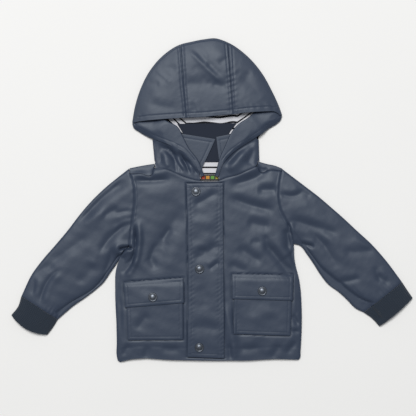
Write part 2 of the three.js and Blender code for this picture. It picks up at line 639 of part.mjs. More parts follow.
const NECK_TAIL = 8; // overlap of the turned neck with the layer underneath
const NECK_SHIFT = 0.1; // keeps its edge off that of the layer it joins

// The outside of the hood's neck, turned over at the side of the neck to join the layer underneath
function neckGrid(columns, sideOut) {
  const across = (columns.length - 1) * 3;
  const along = 8;
  const grid = [];
  for (let column = 0; column <= across; column += 1) {
    const share = column / across;
    const [seam, under] = ['seam', 'under'].map((key) => pick(columns, key, share));
    const line = [];
    for (let row = 0; row <= along; row += 1) {
      const [x, y] = mixPoint(seam, under, row / along);
      line.push([x, y, bodyTop(x, y)]);
    }
    grid.push(line);
  }
  const inset = sideOut * (TURN + CLOTH / 2);
  const side = grid[0].map(([x, y]) => turnOver([x + inset, y], [sideOut, 0], TURN, 4));
  const layers = side[0].map((_point, layer) => side.map((points) => points[layer]));
  const tail = layers.at(-1).map(([x, y, z]) => [x - sideOut * NECK_TAIL, y + NECK_SHIFT, z]);
  return [tail, ...reversed(layers), ...grid.slice(1)];
}

// A column of a hood seam, moved along x to one side of the seam
function besideSeam({ brim, turn, nape }, shift) {
  const moved = ([x, y]) => [x + shift, y];
  return { brim: moved(brim), turn: moved(turn), nape: moved(nape) };
}

function hoodSide(seam, columns, neckColumns, sideOut) {
  const first = besideSeam(seam, (sideOut * SEAM) / 2);
  const panel = wallMesh(hoodGrid([first, ...columns]), CLOTH);
  return unite(panel, wallMesh(neckGrid(neckColumns, sideOut), CLOTH));
}

function hoodCentre() {
  const first = besideSeam(HOOD_SEAM_LEFT, SEAM / 2);
  const last = besideSeam(HOOD_SEAM_RIGHT, -SEAM / 2);
  return wallMesh(hoodGrid([first, ...HOOD_CENTRE, last]), CLOTH);
}

const TIP_MIDDLE = CLOTH + LAID + FACING / 2;
const BAND_CLIMB = 1 / 6; // share of its length over which the band climbs from the tip
const BAND_COLUMNS = 4;
const BAND_LIFT = 0.2; // keeps the band off the flat faces of the neck under it
const OVER_CLOTH = CLOTH / 2 + LAID + FACING / 2; // from a facing's middle to that of the cloth under it

// The band lies over the neck, and drops to the layer underneath near the tip of the hood
function bandPiece(rows) {
  const along = (rows.length - 1) * 2;
  const grid = [];
  for (let row = 0; row <= along; row += 1) {
    const v = row / along;
    const [edge, roll] = ['edge', 'roll'].map((key) => pick(rows, key, v));
    const line = [];
    for (let column = 0; column <= BAND_COLUMNS; column += 1) {
      const [x, y] = mixPoint(edge, roll, column / BAND_COLUMNS);
      const overNeck = mix(TIP_MIDDLE, bodyTop(x, y) + OVER_CLOTH + BAND_LIFT, smooth(v / BAND_CLIMB));
      const underBrim = hoodTop(x, y) - OVER_CLOTH;
      line.push([x, y, Math.min(overNeck, underBrim)]);
    }
    grid.push(line);
  }
  return wallMesh(grid, FACING);
}

const SNAP_FACETS = 14;

// Snap cap, turned to sit square on the piece that it is fixed through
function snapCap(name, x, y, seat) {
  const rise = seat === 'storm' ? STORM_RISE + STORM / 2 : FLAP_RISE + FACING / 2;
  const { point, normal } = movedOut(x, y, rise + SEAM);
  const profile = SNAP_PROFILE.map(([radius, height]) => new THREE.Vector2(radius, height));
  const geometry = new THREE.LatheGeometry(profile, SNAP_FACETS).rotateX(Math.PI / 2);
  geometry.deleteAttribute('normal');
  geometry.deleteAttribute('uv');
  const cap = new THREE.Mesh(facingOut(mergeVertices(geometry, 1e-4)), finish(...SNAP_METAL));
  cap.position.set(...point);
  cap.quaternion.setFromUnitVectors(new THREE.Vector3(0, 0, 1), normal);
  cap.name = name;
  return cap;
}

const STORM_RISE = CLOTH / 2 + LAID + STORM / 2;
const POCKET_RISE = OVER_CLOTH;
const FLAP_RISE = POCKET_RISE + FACING + LAID;
const flapRise = (v) => mix(POCKET_RISE, FLAP_RISE, smooth(v / POCKET_TOP));

// Looks: colour, roughness and share of metal
const finish = (color, roughness, metalness = 0) => (
  new THREE.MeshStandardMaterial({ color, roughness, metalness }));
const COATED = [0x4c525f, 0.5];
const RIB_KNIT = [0x2b3344, 0.95];
const NAVY_JERSEY = [0x2c3343, 0.9];
const STRIPED = [0xd8d8da, 0.9];
const WOVEN = [0x33352f, 0.8];
const SNAP_METAL = [0x5c646c, 0.35, 0.85];

const group = new THREE.Group();
const add = (name, geometry, look) => {
  const mesh = new THREE.Mesh(geometry, finish(...look));
  mesh.name = name;
  group.add(mesh);
};

const LINING_MIDDLE = CLOTH + SEAM + JERSEY / 2;
const COLLAR_BACK_MIDDLE = LINING_MIDDLE + JERSEY / 2 + SEAM + FACING / 2;
const COLLAR_MIDDLE = COLLAR_BACK_MIDDLE + FACING + SEAM;
const LABEL_MIDDLE = LINING_MIDDLE + JERSEY / 2 + SEAM + LABEL / 2;

const TOP_LEFT = joined(SHOULDER_SEAM_LEFT, NECKLINE_LEFT);
const TOP_RIGHT = joined(NECKLINE_RIGHT, SHOULDER_SEAM_RIGHT);

add('back', backPanel(), COATED);
add('front_left', frontPanel(SIDE_LEFT, ARMHOLE_LEFT, HEM_LEFT, TOP_LEFT, true), COATED);
add('front_right', frontPanel(SIDE_RIGHT, ARMHOLE_RIGHT, HEM_RIGHT, TOP_RIGHT, false), COATED);
add('sleeve_left', sleeve(ARMHOLE_LEFT, SHOULDER_EDGE_LEFT[0], SLEEVE_LEFT, -1), COATED);
add('sleeve_right', sleeve(ARMHOLE_RIGHT, SHOULDER_EDGE_RIGHT.at(-1), SLEEVE_RIGHT, 1), COATED);
add('cuff_left', cuff(CUFF_LEFT, CUFF_BOW_LEFT), RIB_KNIT);
add('cuff_right', cuff(CUFF_RIGHT, CUFF_BOW_RIGHT), RIB_KNIT);
add('hood_left', hoodSide(HOOD_SEAM_LEFT, HOOD_LEFT, NECK_LEFT, -1), COATED);
add('hood_centre', hoodCentre(), COATED);
add('hood_right', hoodSide(HOOD_SEAM_RIGHT, HOOD_RIGHT, NECK_RIGHT, 1), COATED);
add('hood_facing_left', bandPiece(BAND_LEFT), COATED);
add('hood_facing_right', bandPiece(BAND_RIGHT), COATED);
add('hood_lining', flatSheet(LINING, 6, 6, LINING_MIDDLE, JERSEY), STRIPED);
add('collar_back', flatSheet(COLLAR_BACK, 6, 6, COLLAR_BACK_MIDDLE, FACING), NAVY_JERSEY);
add('collar_left', flatSheet(COLLAR_LEFT, 4, 8, COLLAR_MIDDLE, FACING), COATED);
add('collar_right', flatSheet(COLLAR_RIGHT, 3, 8, COLLAR_MIDDLE, FACING), COATED);
add('neck_lining', flatSheet(NECK_LINING, 4, 3, LINING_MIDDLE, JERSEY), STRIPED);
add('label', flatSheet(WOVEN_LABEL, 3, 1, LABEL_MIDDLE, LABEL), WOVEN);
add('storm_flap', laidSheet(STORM_FLAP, 5, 28, () => STORM_RISE, STORM), COATED);
add('pocket_left', laidSheet(POCKET_LEFT, 8, 7, () => POCKET_RISE, FACING), COATED);
add('pocket_right', laidSheet(POCKET_RIGHT, 8, 7, () => POCKET_RISE, FACING), COATED);
add('pocket_flap_left', laidSheet(FLAP_LEFT, 8, 7, flapRise, FACING), COATED);
add('pocket_flap_right', laidSheet(FLAP_RIGHT, 8, 7, flapRise, FACING), COATED);
SNAPS.forEach((row) => group.add(snapCap(...row)));

// The origin is on the surface, under the middle of the outline
const box = new THREE.Box3().setFromObject(group);
const middle = box.getCenter(new THREE.Vector3());
group.position.set(-middle.x, -middle.y, -box.min.z);

export default group;
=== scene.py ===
"""A toddler's hooded raincoat of coated cloth, laid flat on its back and seen from straight above.

Lengths in the tables are millimetres in the plan of the laid coat. +X is its right side as it is seen, +Y
runs from hem to hood, and z = 0 is the surface that it lies on. Every mesh is built in metres.
"""

import logging
import math
from dataclasses import dataclass, field
from enum import Enum
from typing import Callable, Protocol, Sequence

import bmesh
import bpy
import numpy as np
from mathutils import Matrix, Vector


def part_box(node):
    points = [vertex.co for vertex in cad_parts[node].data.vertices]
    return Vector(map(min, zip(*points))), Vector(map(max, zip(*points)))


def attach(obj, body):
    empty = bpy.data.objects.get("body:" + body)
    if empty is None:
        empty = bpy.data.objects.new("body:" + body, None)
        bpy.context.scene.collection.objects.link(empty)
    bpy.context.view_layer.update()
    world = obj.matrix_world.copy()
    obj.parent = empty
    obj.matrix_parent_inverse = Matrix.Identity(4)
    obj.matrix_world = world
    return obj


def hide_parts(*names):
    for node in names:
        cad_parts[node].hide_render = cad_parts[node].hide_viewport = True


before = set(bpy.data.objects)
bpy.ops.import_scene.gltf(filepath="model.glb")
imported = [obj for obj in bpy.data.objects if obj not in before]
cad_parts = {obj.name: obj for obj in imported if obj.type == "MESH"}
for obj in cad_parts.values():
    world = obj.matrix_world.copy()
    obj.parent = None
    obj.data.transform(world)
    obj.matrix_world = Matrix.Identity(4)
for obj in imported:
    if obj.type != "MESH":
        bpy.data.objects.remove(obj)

LOG = logging.getLogger("raincoat")
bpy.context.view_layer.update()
MM = 0.001

Array = np.ndarray
Colour = tuple[float, float, float]
Rows = Sequence[Sequence[float]]
Height = Callable[[Array, Array], Array]

# Walls and gaps
CLOTH = 1.8
FACING = 1.4
STORM = 2.0
JERSEY = 1.2
LABEL = 0.8
SEAM = 0.3
LAID = 0.5

# Heights of the laid layers, to the middle of a wall
LOWER = CLOTH / 2
TURN = 1.5
EDGE = LOWER + 2 * TURN
LOFT = 4.0
LOFT_REACH = 34.0
HEM_LOFT = 0.45
HEM_REACH = 50.0
HEM_FOLDS = 0.6
HEM_Y = -265.0
NECK_LIFT = 2.3
NECK_START = 36.0
NECK_REACH = 24.0
HOOD_TURN = 2.6
HOOD_EDGE = LOWER + 2 * HOOD_TURN
HOOD_LOFT = 8.0
HOOD_REACH = 46.0
LOWEST = LOWER + CLOTH + 0.5
TUBE_INSET = TURN + CLOTH / 2 + SEAM
TUBE_STEPS = 7

# Outline of the body
SIDE_LEFT = [[-150.5, -267], [-154.4, -265.2], [-156.3, -259], [-156.6, -235], [-157.2, -205],
             [-159.6, -150], [-157.5, -112], [-148, -88.6], [-136.5, -77]]
ARMHOLE_LEFT = [[-136.5, -77], [-132, -38.5], [-127.5, 2.5], [-129.5, 27], [-135, 43]]
SIDE_RIGHT = [[142.5, -263.3], [145.2, -260.8], [146.2, -250], [148.1, -215], [148.2, -180],
              [145, -135], [136.8, -98], [135.5, -73.5]]
ARMHOLE_RIGHT = [[135.5, -73.5], [128, -43], [114, -15], [110.5, 13], [115.5, 47.5]]
HEM_LEFT = [[-150.5, -267], [-135, -263], [-110, -261], [-77, -263], [-11.2, -264.5]]
HEM_RIGHT = [[-11.2, -264.5], [22, -264.5], [55, -264.5], [110, -262], [142.5, -263.3]]
FRONT_EDGE = [[-11.2, -264.5], [-11.2, 30.5]]
SHOULDER_EDGE_LEFT = [[-136.5, 52.5], [-122, 55.5], [-108, 58], [-94.5, 60]]
SHOULDER_SEAM_LEFT = [[-135, 43], [-117.5, 43.5], [-100, 40.5], [-95.5, 52]]
SHOULDER_EDGE_RIGHT = [[77, 63.8], [90, 60], [104, 57], [117, 52]]
SHOULDER_SEAM_RIGHT = [[75.5, 56], [80, 46], [97, 49.5], [115.5, 47.5]]
NECKLINE_LEFT = [[-95.5, 52], [-78.5, 51], [-62.5, 45.5], [-47, 38.5], [-28, 33], [-11.2, 30.5]]
NECKLINE_RIGHT = [[-11.2, 30.5], [8.5, 31], [24, 36.5], [42, 41], [60, 49], [75.5, 56]]
SHOULDER_END = 0.8
NAPE_Y = 64.5
NAPE = [[-93, NAPE_Y], [77, NAPE_Y]]
NECK_SPAN = (-92.5, 75.5)
NECK_SIDE_LEFT = [[-92.7, 65], [-92, 82.5], [-96.5, 100]]
NECK_SIDE_RIGHT = [[76.7, 65], [76.5, 82.5], [75.8, 100]]

# Sleeves and cuffs: upper edge x, y and lower edge x, y
SLEEVE_LEFT = [
    [-154.5, 38.5, -149.5, -89.5], [-178, 19, -157.6, -104.2], [-197.5, 0, -168.5, -121],
    [-217.5, -23, -178.5, -136], [-237, -48.5, -192.5, -149], [-258, -73.5, -211, -163],
    [-278.5, -97, -229, -175.5], [-296.5, -121, -242, -186.5], [-314.5, -158, -254, -197],
]
SLEEVE_RIGHT = [
    [135.5, 38, 146.5, -75], [155.5, 22.5, 159, -90.5], [175.5, 7, 169.5, -106.5], [197, -11.5, 179.5, -123],
    [217.5, -29.5, 192.5, -139.5], [239.5, -50, 210, -152.5], [263, -71.5, 224, -165.5],
    [287.5, -99, 238, -179.5], [314.5, -135, 251, -185.5],
]
CUFF_LEFT = [[-314.8, -158.4, -254.3, -197.4], [-320, -175, -262, -210], [-331.5, -190, -271.5, -222.5]]
CUFF_RIGHT = [[314.8, -135.4, 251.3, -185.9], [323, -148, 264, -195], [332, -161, 276.5, -208.5]]

# Hood: where a column of cloth leaves the brim, turns over at the outline and ends underneath
HOOD = [
    [-123.5, 129, -131.5, 128, -122, 117.5], [-116, 130, -127, 153.5, -92.5, 101.5],
    [-103, 131.3, -118.5, 181.5, -88, 84], [-84, 132.8, -104, 211, -88, 64.8],
    [-62, 134.2, -82, 237.5, -66, 64.8], [-42, 135.3, -52, 257, -42, 64.8],
    [-27, 135.8, -34, 261.5, -27, 64.8], [-11, 136.7, -13.5, 265.5, -11, 64.8],
    [4, 138.2, 7.5, 267, 4, 64.8], [20, 139.8, 18, 264, 20, 64.8], [35, 141, 27.5, 260, 35, 64.8],
    [52, 143.4, 57.5, 239, 56, 64.8], [72, 145, 82, 211, 72.5, 64.8], [90, 146, 100, 179, 72.5, 84],
    [102, 146, 110, 157.5, 73, 101], [107.5, 144.5, 116, 141, 105, 128.5],
]
HOOD_SEAM_COLUMNS = (5, 10)

# Hood front edge turned out: finished edge x, y and roll x, y, from tip to neck
BAND_LEFT = [
    [-130.8, 126, -127.5, 138], [-128.3, 119, -120, 141], [-122, 114.5, -108, 143], [-108, 106, -90, 137],
    [-92, 99.5, -73, 127.5], [-75, 93, -58, 119.5], [-56.5, 84.3, -48.5, 103], [-43, 77.2, -39, 84.5],
    [-29.3, 62.5, -24.8, 65.5], [-17.5, 38.5, -14, 40],
]
BAND_RIGHT = [
    [115.4, 139, 112, 148], [113.2, 132.3, 103, 152], [107.5, 126.8, 92, 154], [95, 119, 76, 146],
    [84, 111, 61, 134], [62.9, 97.2, 44, 122.5], [43.1, 84.5, 31.6, 106.6], [30, 74, 23.5, 89],
    [19, 60.5, 14.5, 68], [10.5, 38, 7, 39.5],
]
# Neck of the hood: neck seam x, y and where it goes under the band x, y
NECK_LEFT = [
    [-92.2, 65, -95.6, 100], [-92.2, 52.9, -80, 115], [-78.3, 51.3, -64, 114], [-62.3, 45.8, -54, 104],
    [-46.8, 38.9, -45, 90], [-32, 34.5, -35, 73], [-19, 32, -21, 50],
]
NECK_RIGHT = [
    [76.2, 65, 75.2, 100], [73.2, 57, 60, 121], [59.7, 49.5, 46, 113], [41.7, 41.5, 36, 98],
    [24, 37, 26, 80], [12, 32.8, 13.5, 55],
]

# Flat pieces: left edge x, y and right edge x, y, from top to bottom
LINING = [[-66, 196, 56, 196], [-80, 150, 70, 152], [-60, 108, 46, 110], [-57, 65.5, 42, 65.5]]
COLLAR_BACK = [[-57, 126, 41, 127], [-47, 108, 28, 108], [-44, 95, 27, 95], [-40, 62.9, 26, 62.9]]
COLLAR_LEFT = [[-60, 111, 6, 100.5], [-51, 92, -1, 85], [-40, 73, -9, 68], [-28, 57, -15, 55.5],
               [-18.8, 47.5, -16.8, 47]]
COLLAR_RIGHT = [[7.5, 104, 42, 111], [8.8, 92, 35, 95], [10.5, 78, 25, 79], [12, 65, 18, 65.5],
                [12.6, 54, 14.8, 54]]
NECK_LINING = [[-24, 62.6, 16, 62.6], [-24, 31, 16, 31]]
WOVEN_LABEL = [[-18.5, 42, 11, 42], [-18.5, 32, 11, 32]]
STORM_FLAP = [[-41.7, 27.2, 18.5, 28.2], [-39.7, -40, 18.6, -40], [-38.8, -110, 19.4, -110],
              [-39, -190, 20.1, -190], [-40.3, -258.5, 20.4, -260.8]]
POCKET_LEFT = [[-141, -151, -48, -149], [-140, -190, -47.5, -190], [-138.5, -230.5, -47.5, -230]]
POCKET_RIGHT = [[37, -141, 132, -142], [36.5, -180, 131, -180], [36, -220.5, 129.5, -223.5]]
FLAP_LEFT = [[-145.5, -135.5, -46.8, -128.2], [-142.5, -177, -46, -169]]
FLAP_RIGHT = [[33.5, -122, 134, -123.5], [34, -162.5, 133, -165.5]]
POCKET_TOP = 0.28

# Folds of the laid cloth: start, middle and end x, y, half width, height, lip beside it, crispness
FOLD_GAIN = 1.8
FOLD_START = 10.0
HOOD_FOLD_START = 25.0
FRONT_FOLDS = [
    [-131.6, 32, -84, 31.5, -67, 35, 6, -2.1, 0.4, 0.4],
    [-129.5, -38, -118.5, -79, -139, -115, 3.6, -2.9, 0.5, 0.7],
    [-43.6, -8.9, -88, -74, -100.6, -122.6, 13, -1.6, 0.4, 0.2],
    [-66.9, -44.7, -75, -55, -84, -67, 5, -0.8, 0.5, 0.3],
    [-88, -70, -98, -80, -102.6, -101.5, 5, -0.8, 0.5, 0.3],
    [-119.5, -30, -117, -55, -122.6, -76, 7, 0.8, 0.2, 0.2],
    [-134, -101.5, -142, -106, -150, -120.5, 5, -0.9, 0.4, 0.3],
    [-50, 20.6, -84, 8, -117, 10, 12, 0.5, 0.3, 0.1], [-104.7, -93, -98, -104, -92, -114, 6, -0.7, 0.4, 0.3],
    [-132.6, -94, -137, -115, -147, -123, 4, -1, 0.5, 0.5],
    [-141, -89.6, -151.5, -102, -154.7, -119, 3.5, -0.9, 0.5, 0.5],
    [-153.6, -218, -149, -186, -153, -155, 5, -0.6, 0.3, 0.2],
    [28.5, 25.9, 63, 28.2, 95.8, 51.3, 8, -2.1, 0.4, 0.3],
    [74.7, 16.7, 91, 16.7, 108.5, 17.5, 7, -1.35, 0.3, 0.2],
    [28, 6, 63, -11, 105.4, -17.3, 8, -1.75, 0.4, 0.3],
    [58, -35.1, 79, -43.5, 97.8, -42.6, 9, -1.35, 0.3, 0.2],
    [42.7, -76.2, 58.2, -89, 84, -103, 8, -1.35, 0.3, 0.2],
    [63.7, -67.8, 74, -72, 80.5, -66, 6, -0.7, 0.3, 0.2], [90, -57, 88, -76, 93, -85, 5, -0.7, 0.4, 0.3],
    [28, -104, 43, -112, 59, -118, 7, -0.84, 0.3, 0.2],
    [88.9, -67.5, 109.3, -102, 137.4, -126.9, 8, -2.38, 0.4, 0.3],
    [122, -46, 126, -65, 129, -84, 6, -1.82, 0.3, 0.3], [125.8, -36, 127, -47, 128, -57, 3, -1.12, 0.4, 0.5],
    [133, -188, 139, -203, 146, -205, 4, -1.12, 0.4, 0.3],
    [131, -217, 139, -215, 148, -219, 3.5, -0.98, 0.4, 0.3],
    [22.5, -168.8, 33.4, -222.6, 40.5, -259.4, 7, 1.4, 0.4, 0.4],
    [28, -236, 30, -249, 31, -264, 3.5, -1.4, 0.4, 0.4],
    [-146, -258, -142, -246, -134, -238, 5, -1.0, 0.4, 0.2],
    [-112, -262, -106, -252, -106, -240, 6, -0.9, 0.4, 0.2],
    [-84, -243, -68, -250, -52, -244, 6, -0.8, 0.4, 0.2], [44, -243, 62, -250, 80, -240, 6, -0.8, 0.4, 0.2],
    [98, -262, 104, -250, 114, -238, 6, -0.9, 0.4, 0.2],
    [124, -254, 130, -243, 140, -234, 5, -1.0, 0.4, 0.2], [81.6, 57, 79, 46, 93, 53, 4, -1.96, 0.4, 0.3],
]
PLACKET_FOLDS = [
    [-31, -9, -8, 2, 11, 14, 6, -0.96, 0.4, 0.3], [-33, -97, -8, -89, 13, -70, 8, -1.08, 0.4, 0.3],
    [-6, -114, 3, -110, 13, -100, 4, -1.08, 0.4, 0.5], [-23, -85, -16, -80, -8, -85, 5, -0.6, 0.3, 0.2],
    [-37, -211, -12, -205, 13, -217, 9, -0.84, 0.3, 0.2], [-33, -36, -12, -40, 11, -30, 10, 0.6, 0.3, 0.1],
    [-20, -139, -8, -156, -12, -181, 10, -0.6, 0.3, 0.1],
    [-124, -215, -117, -200, -103, -188, 7, -0.72, 0.4, 0.3],
    [60, -195, 84, -190, 105, -178, 11, 0.6, 0.3, 0.1],
    [-120, -158, -95, -168, -70, -160, 12, 0.48, 0.3, 0.1],
]
SLEEVE_FOLDS = [
    [-130.5, 34.6, -181, 11.4, -218.9, -39.1, 8, -1.3, 0.4, 0.2],
    [-193.7, -51.7, -231.5, -76.9, -277.8, -114.8, 9, -1.1, 0.3, 0.2],
    [-134.9, -34.5, -171, -59, -188, -91, 7, -1.7, 0.4, 0.4],
    [-153.7, -13.9, -168, -19, -181, -26.5, 6, -0.9, 0.3, 0.3],
    [-192, -104, -206, -122, -222, -140, 9, -0.9, 0.3, 0.1],
    [-246, -113, -276, -124, -284, -173, 4.5, -1.1, 0.4, 0.4],
    [-293, -128, -292, -143, -297, -157, 4, -0.7, 0.3, 0.3],
    [-258, -106, -280, -118, -300, -116, 8, -0.6, 0.3, 0.1],
    [-132.6, -17, -147, -18, -162, -24, 3.5, -0.7, 0.4, 0.4],
    [-132.6, -33, -149, -37, -164, -50, 4, 0.6, 0.2, 0.3],
    [-164, -77, -166, -102, -179, -121, 5, -0.9, 0.4, 0.2],
    [-219, -47, -202, -33, -168, -14, 7, 0.6, 0.2, 0.2],
    [-175, -64, -194, -98, -202, -115, 9, 0.6, 0.2, 0.1],
    [125.8, -31.8, 166, -41.8, 212, -57, 8, -1.4, 0.4, 0.2],
    [160, -50, 192, -74, 208.3, -114, 7, -1.4, 0.4, 0.3],
    [272.7, -121.6, 282, -131.5, 293, -139, 6, -0.8, 0.3, 0.2],
    [112, 12, 132, 0, 150, 14, 5, -1.1, 0.4, 0.3], [144, 18, 154, 10, 164, 6, 5, -0.6, 0.4, 0.2],
    [122, -14, 146, -14, 162, -2, 9, 0.5, 0.2, 0.1], [216, -82, 244, -88, 268, -82, 7, -0.8, 0.4, 0.2],
    [207, -134, 224, -135, 246, -127, 5, -0.9, 0.2, 0.3],
    [270, -108, 271, -124, 279, -137, 5, -0.7, 0.4, 0.2], [232, -62, 248, -74, 266, -78, 6, 0.5, 0.2, 0.2],
    [188, -74, 202, -92, 204, -110, 6, 0.5, 0.2, 0.1], [146, -72, 158, -74, 170, -77, 3.5, -1.9, 0.2, 0.5],
]
NECK_FOLDS = [
    [-77.1, 90.9, -62.3, 75.2, -57.3, 43.9, 5, -2.3, 0.3, 0.4],
    [-55, 81.8, -44.1, 62.9, -35.2, 42.1, 4, -2.1, 0.3, 0.4],
    [54.9, 82.7, 43.3, 66.2, 26.8, 46.4, 8, 1.22, 0.3, 0.2],
    [-64, 72, -55, 60, -47, 45, 3.5, -1.7, 0.3, 0.4], [-92, 92, -62, 78, -34, 54, 6.5, -2.9, 0.1, 0.1],
    [74, 100, 46, 88, 20, 54, 6.5, -2.7, 0.1, 0.1], [-43, 69, -32, 56, -24, 42, 3, -1.5, 0.3, 0.4],
    [-82, 70, -74, 62, -72, 53, 4, 0.81, 0.3, 0.3], [-92, 84, -84, 74, -82, 60, 5, -1.3, 0.3, 0.3],
    [72, 88, 62, 74, 58, 56, 7, -1.3, 0.2, 0.2],
]
FOLDS = [*FRONT_FOLDS, *PLACKET_FOLDS, *SLEEVE_FOLDS, *NECK_FOLDS]
HOOD_FOLDS = [
    [-39.7, 248.5, -7.8, 214.7, 18.6, 191.6, 4, 0.9, 0.6, 0.6],
    [-50, 190, -8, 193, 38, 190, 9, -0.77, 0.3, 0.2],
    [-98.6, 214.7, -83.7, 204.8, -68, 194.9, 8, -0.84, 0.4, 0.3],
    [-104, 159, -80, 153, -55, 150, 8, -0.5, 0.3, 0.2], [46.6, 206, 66, 190, 83, 168.5, 11, -0.84, 0.3, 0.2],
    [-9.4, 243, -8, 230, -9.4, 218, 4, 0.3, 0.3, 0.4], [-30, 224, -23, 205, -8, 195.5, 8, -0.5, 0.3, 0.2],
    [11.5, 222, 19, 230, 26.6, 235, 5, -0.54, 0.4, 0.3],
    [-89, 220, -72, 218, -57, 212.5, 7, -0.63, 0.3, 0.2],
    [-94.6, 214.4, -79, 203, -66, 192, 4, 0.56, 0.3, 0.5], [0, 192, 11.5, 184, 25, 186, 7, -0.56, 0.4, 0.2],
    [-34, 159.5, -26, 152, -30, 144, 4, -0.35, 0.4, 0.3], [38, 211, 53, 205, 68, 207, 8, -0.56, 0.3, 0.2],
    [38, 157.6, 30, 150, 25, 144, 5, -0.35, 0.4, 0.3], [44, 175, 66, 175, 85, 182, 12, 0.42, 0.2, 0.1],
    [-108, 194, -96, 190, -85, 192, 6, -0.42, 0.3, 0.2],
]
# Hollow under the left armpit: start, middle and end x, y, half width, depth, rise of the rim, its reach
HOLLOW = [-150.5, -80.5, -143.5, -77.5, -134, -79, 3.0, 9.2, 7.0, 10.0]
# Underarm seams of the sleeves, each walked with the lower-lying strip on its left
UNDERARMS = [
    [[-150, -84], [-153.6, -89.6], [-172, -118], [-193.6, -144.3], [-231.5, -167.5], [-258.9, -186.4]],
    [[285, -198.8], [273, -184.5], [260.5, -170.8]],
    [[272, -169.8], [252, -163.7], [232.1, -151.8], [208.1, -131.8], [182.1, -111.7], [164.5, -90],
     [150, -70.5]],
]
# Waves in an uneven field, and what their sum is divided by
WAVES = 7
WAVE_SUM = 3.2


def smooth(t: Array) -> Array:
    """Returns the soft step of t from 0 to 1."""
    s = np.clip(t, 0.0, 1.0)
    return s * s * (3.0 - 2.0 * s)


def swell(t: Array) -> Array:
    """Returns the rise of a pillow from its edge at 0 to its level top at 1."""
    return 1.0 - (1.0 - np.clip(t, 0.0, 1.0)) ** 2


def mix(a: Array, b: Array, t: Array) -> Array:
    """Returns the value at share t of the way from a to b."""
    return a + (b - a) * t


def wander(x: Array, y: Array, pitch: float, seed: int) -> Array:
    """Gives a slow uneven field between about -1 and 1, the same on every run.

    Args:
        x: Plan x in millimetres.
        y: Plan y in millimetres.
        pitch: Mean length of its waves in millimetres.
        seed: Number that picks the field.

    Returns:
        The field at each point.
    """
    random = np.random.default_rng(seed)
    total = np.zeros_like(x, dtype=float)
    for _ in range(WAVES):
        angle, phase = random.uniform(0, 2 * math.pi, 2)
        wave = 2 * math.pi / (pitch * random.uniform(0.6, 1.6))
        total += np.sin(wave * (x * math.cos(angle) + y * math.sin(angle)) + phase)
    return total / WAVE_SUM


def pairs_at(place: Array, known: Array, pairs: Array) -> Array:
    """Returns x, y at places between the known ones."""
    return np.stack([np.interp(place, known, pairs[:, axis]) for axis in (0, 1)], axis=-1)


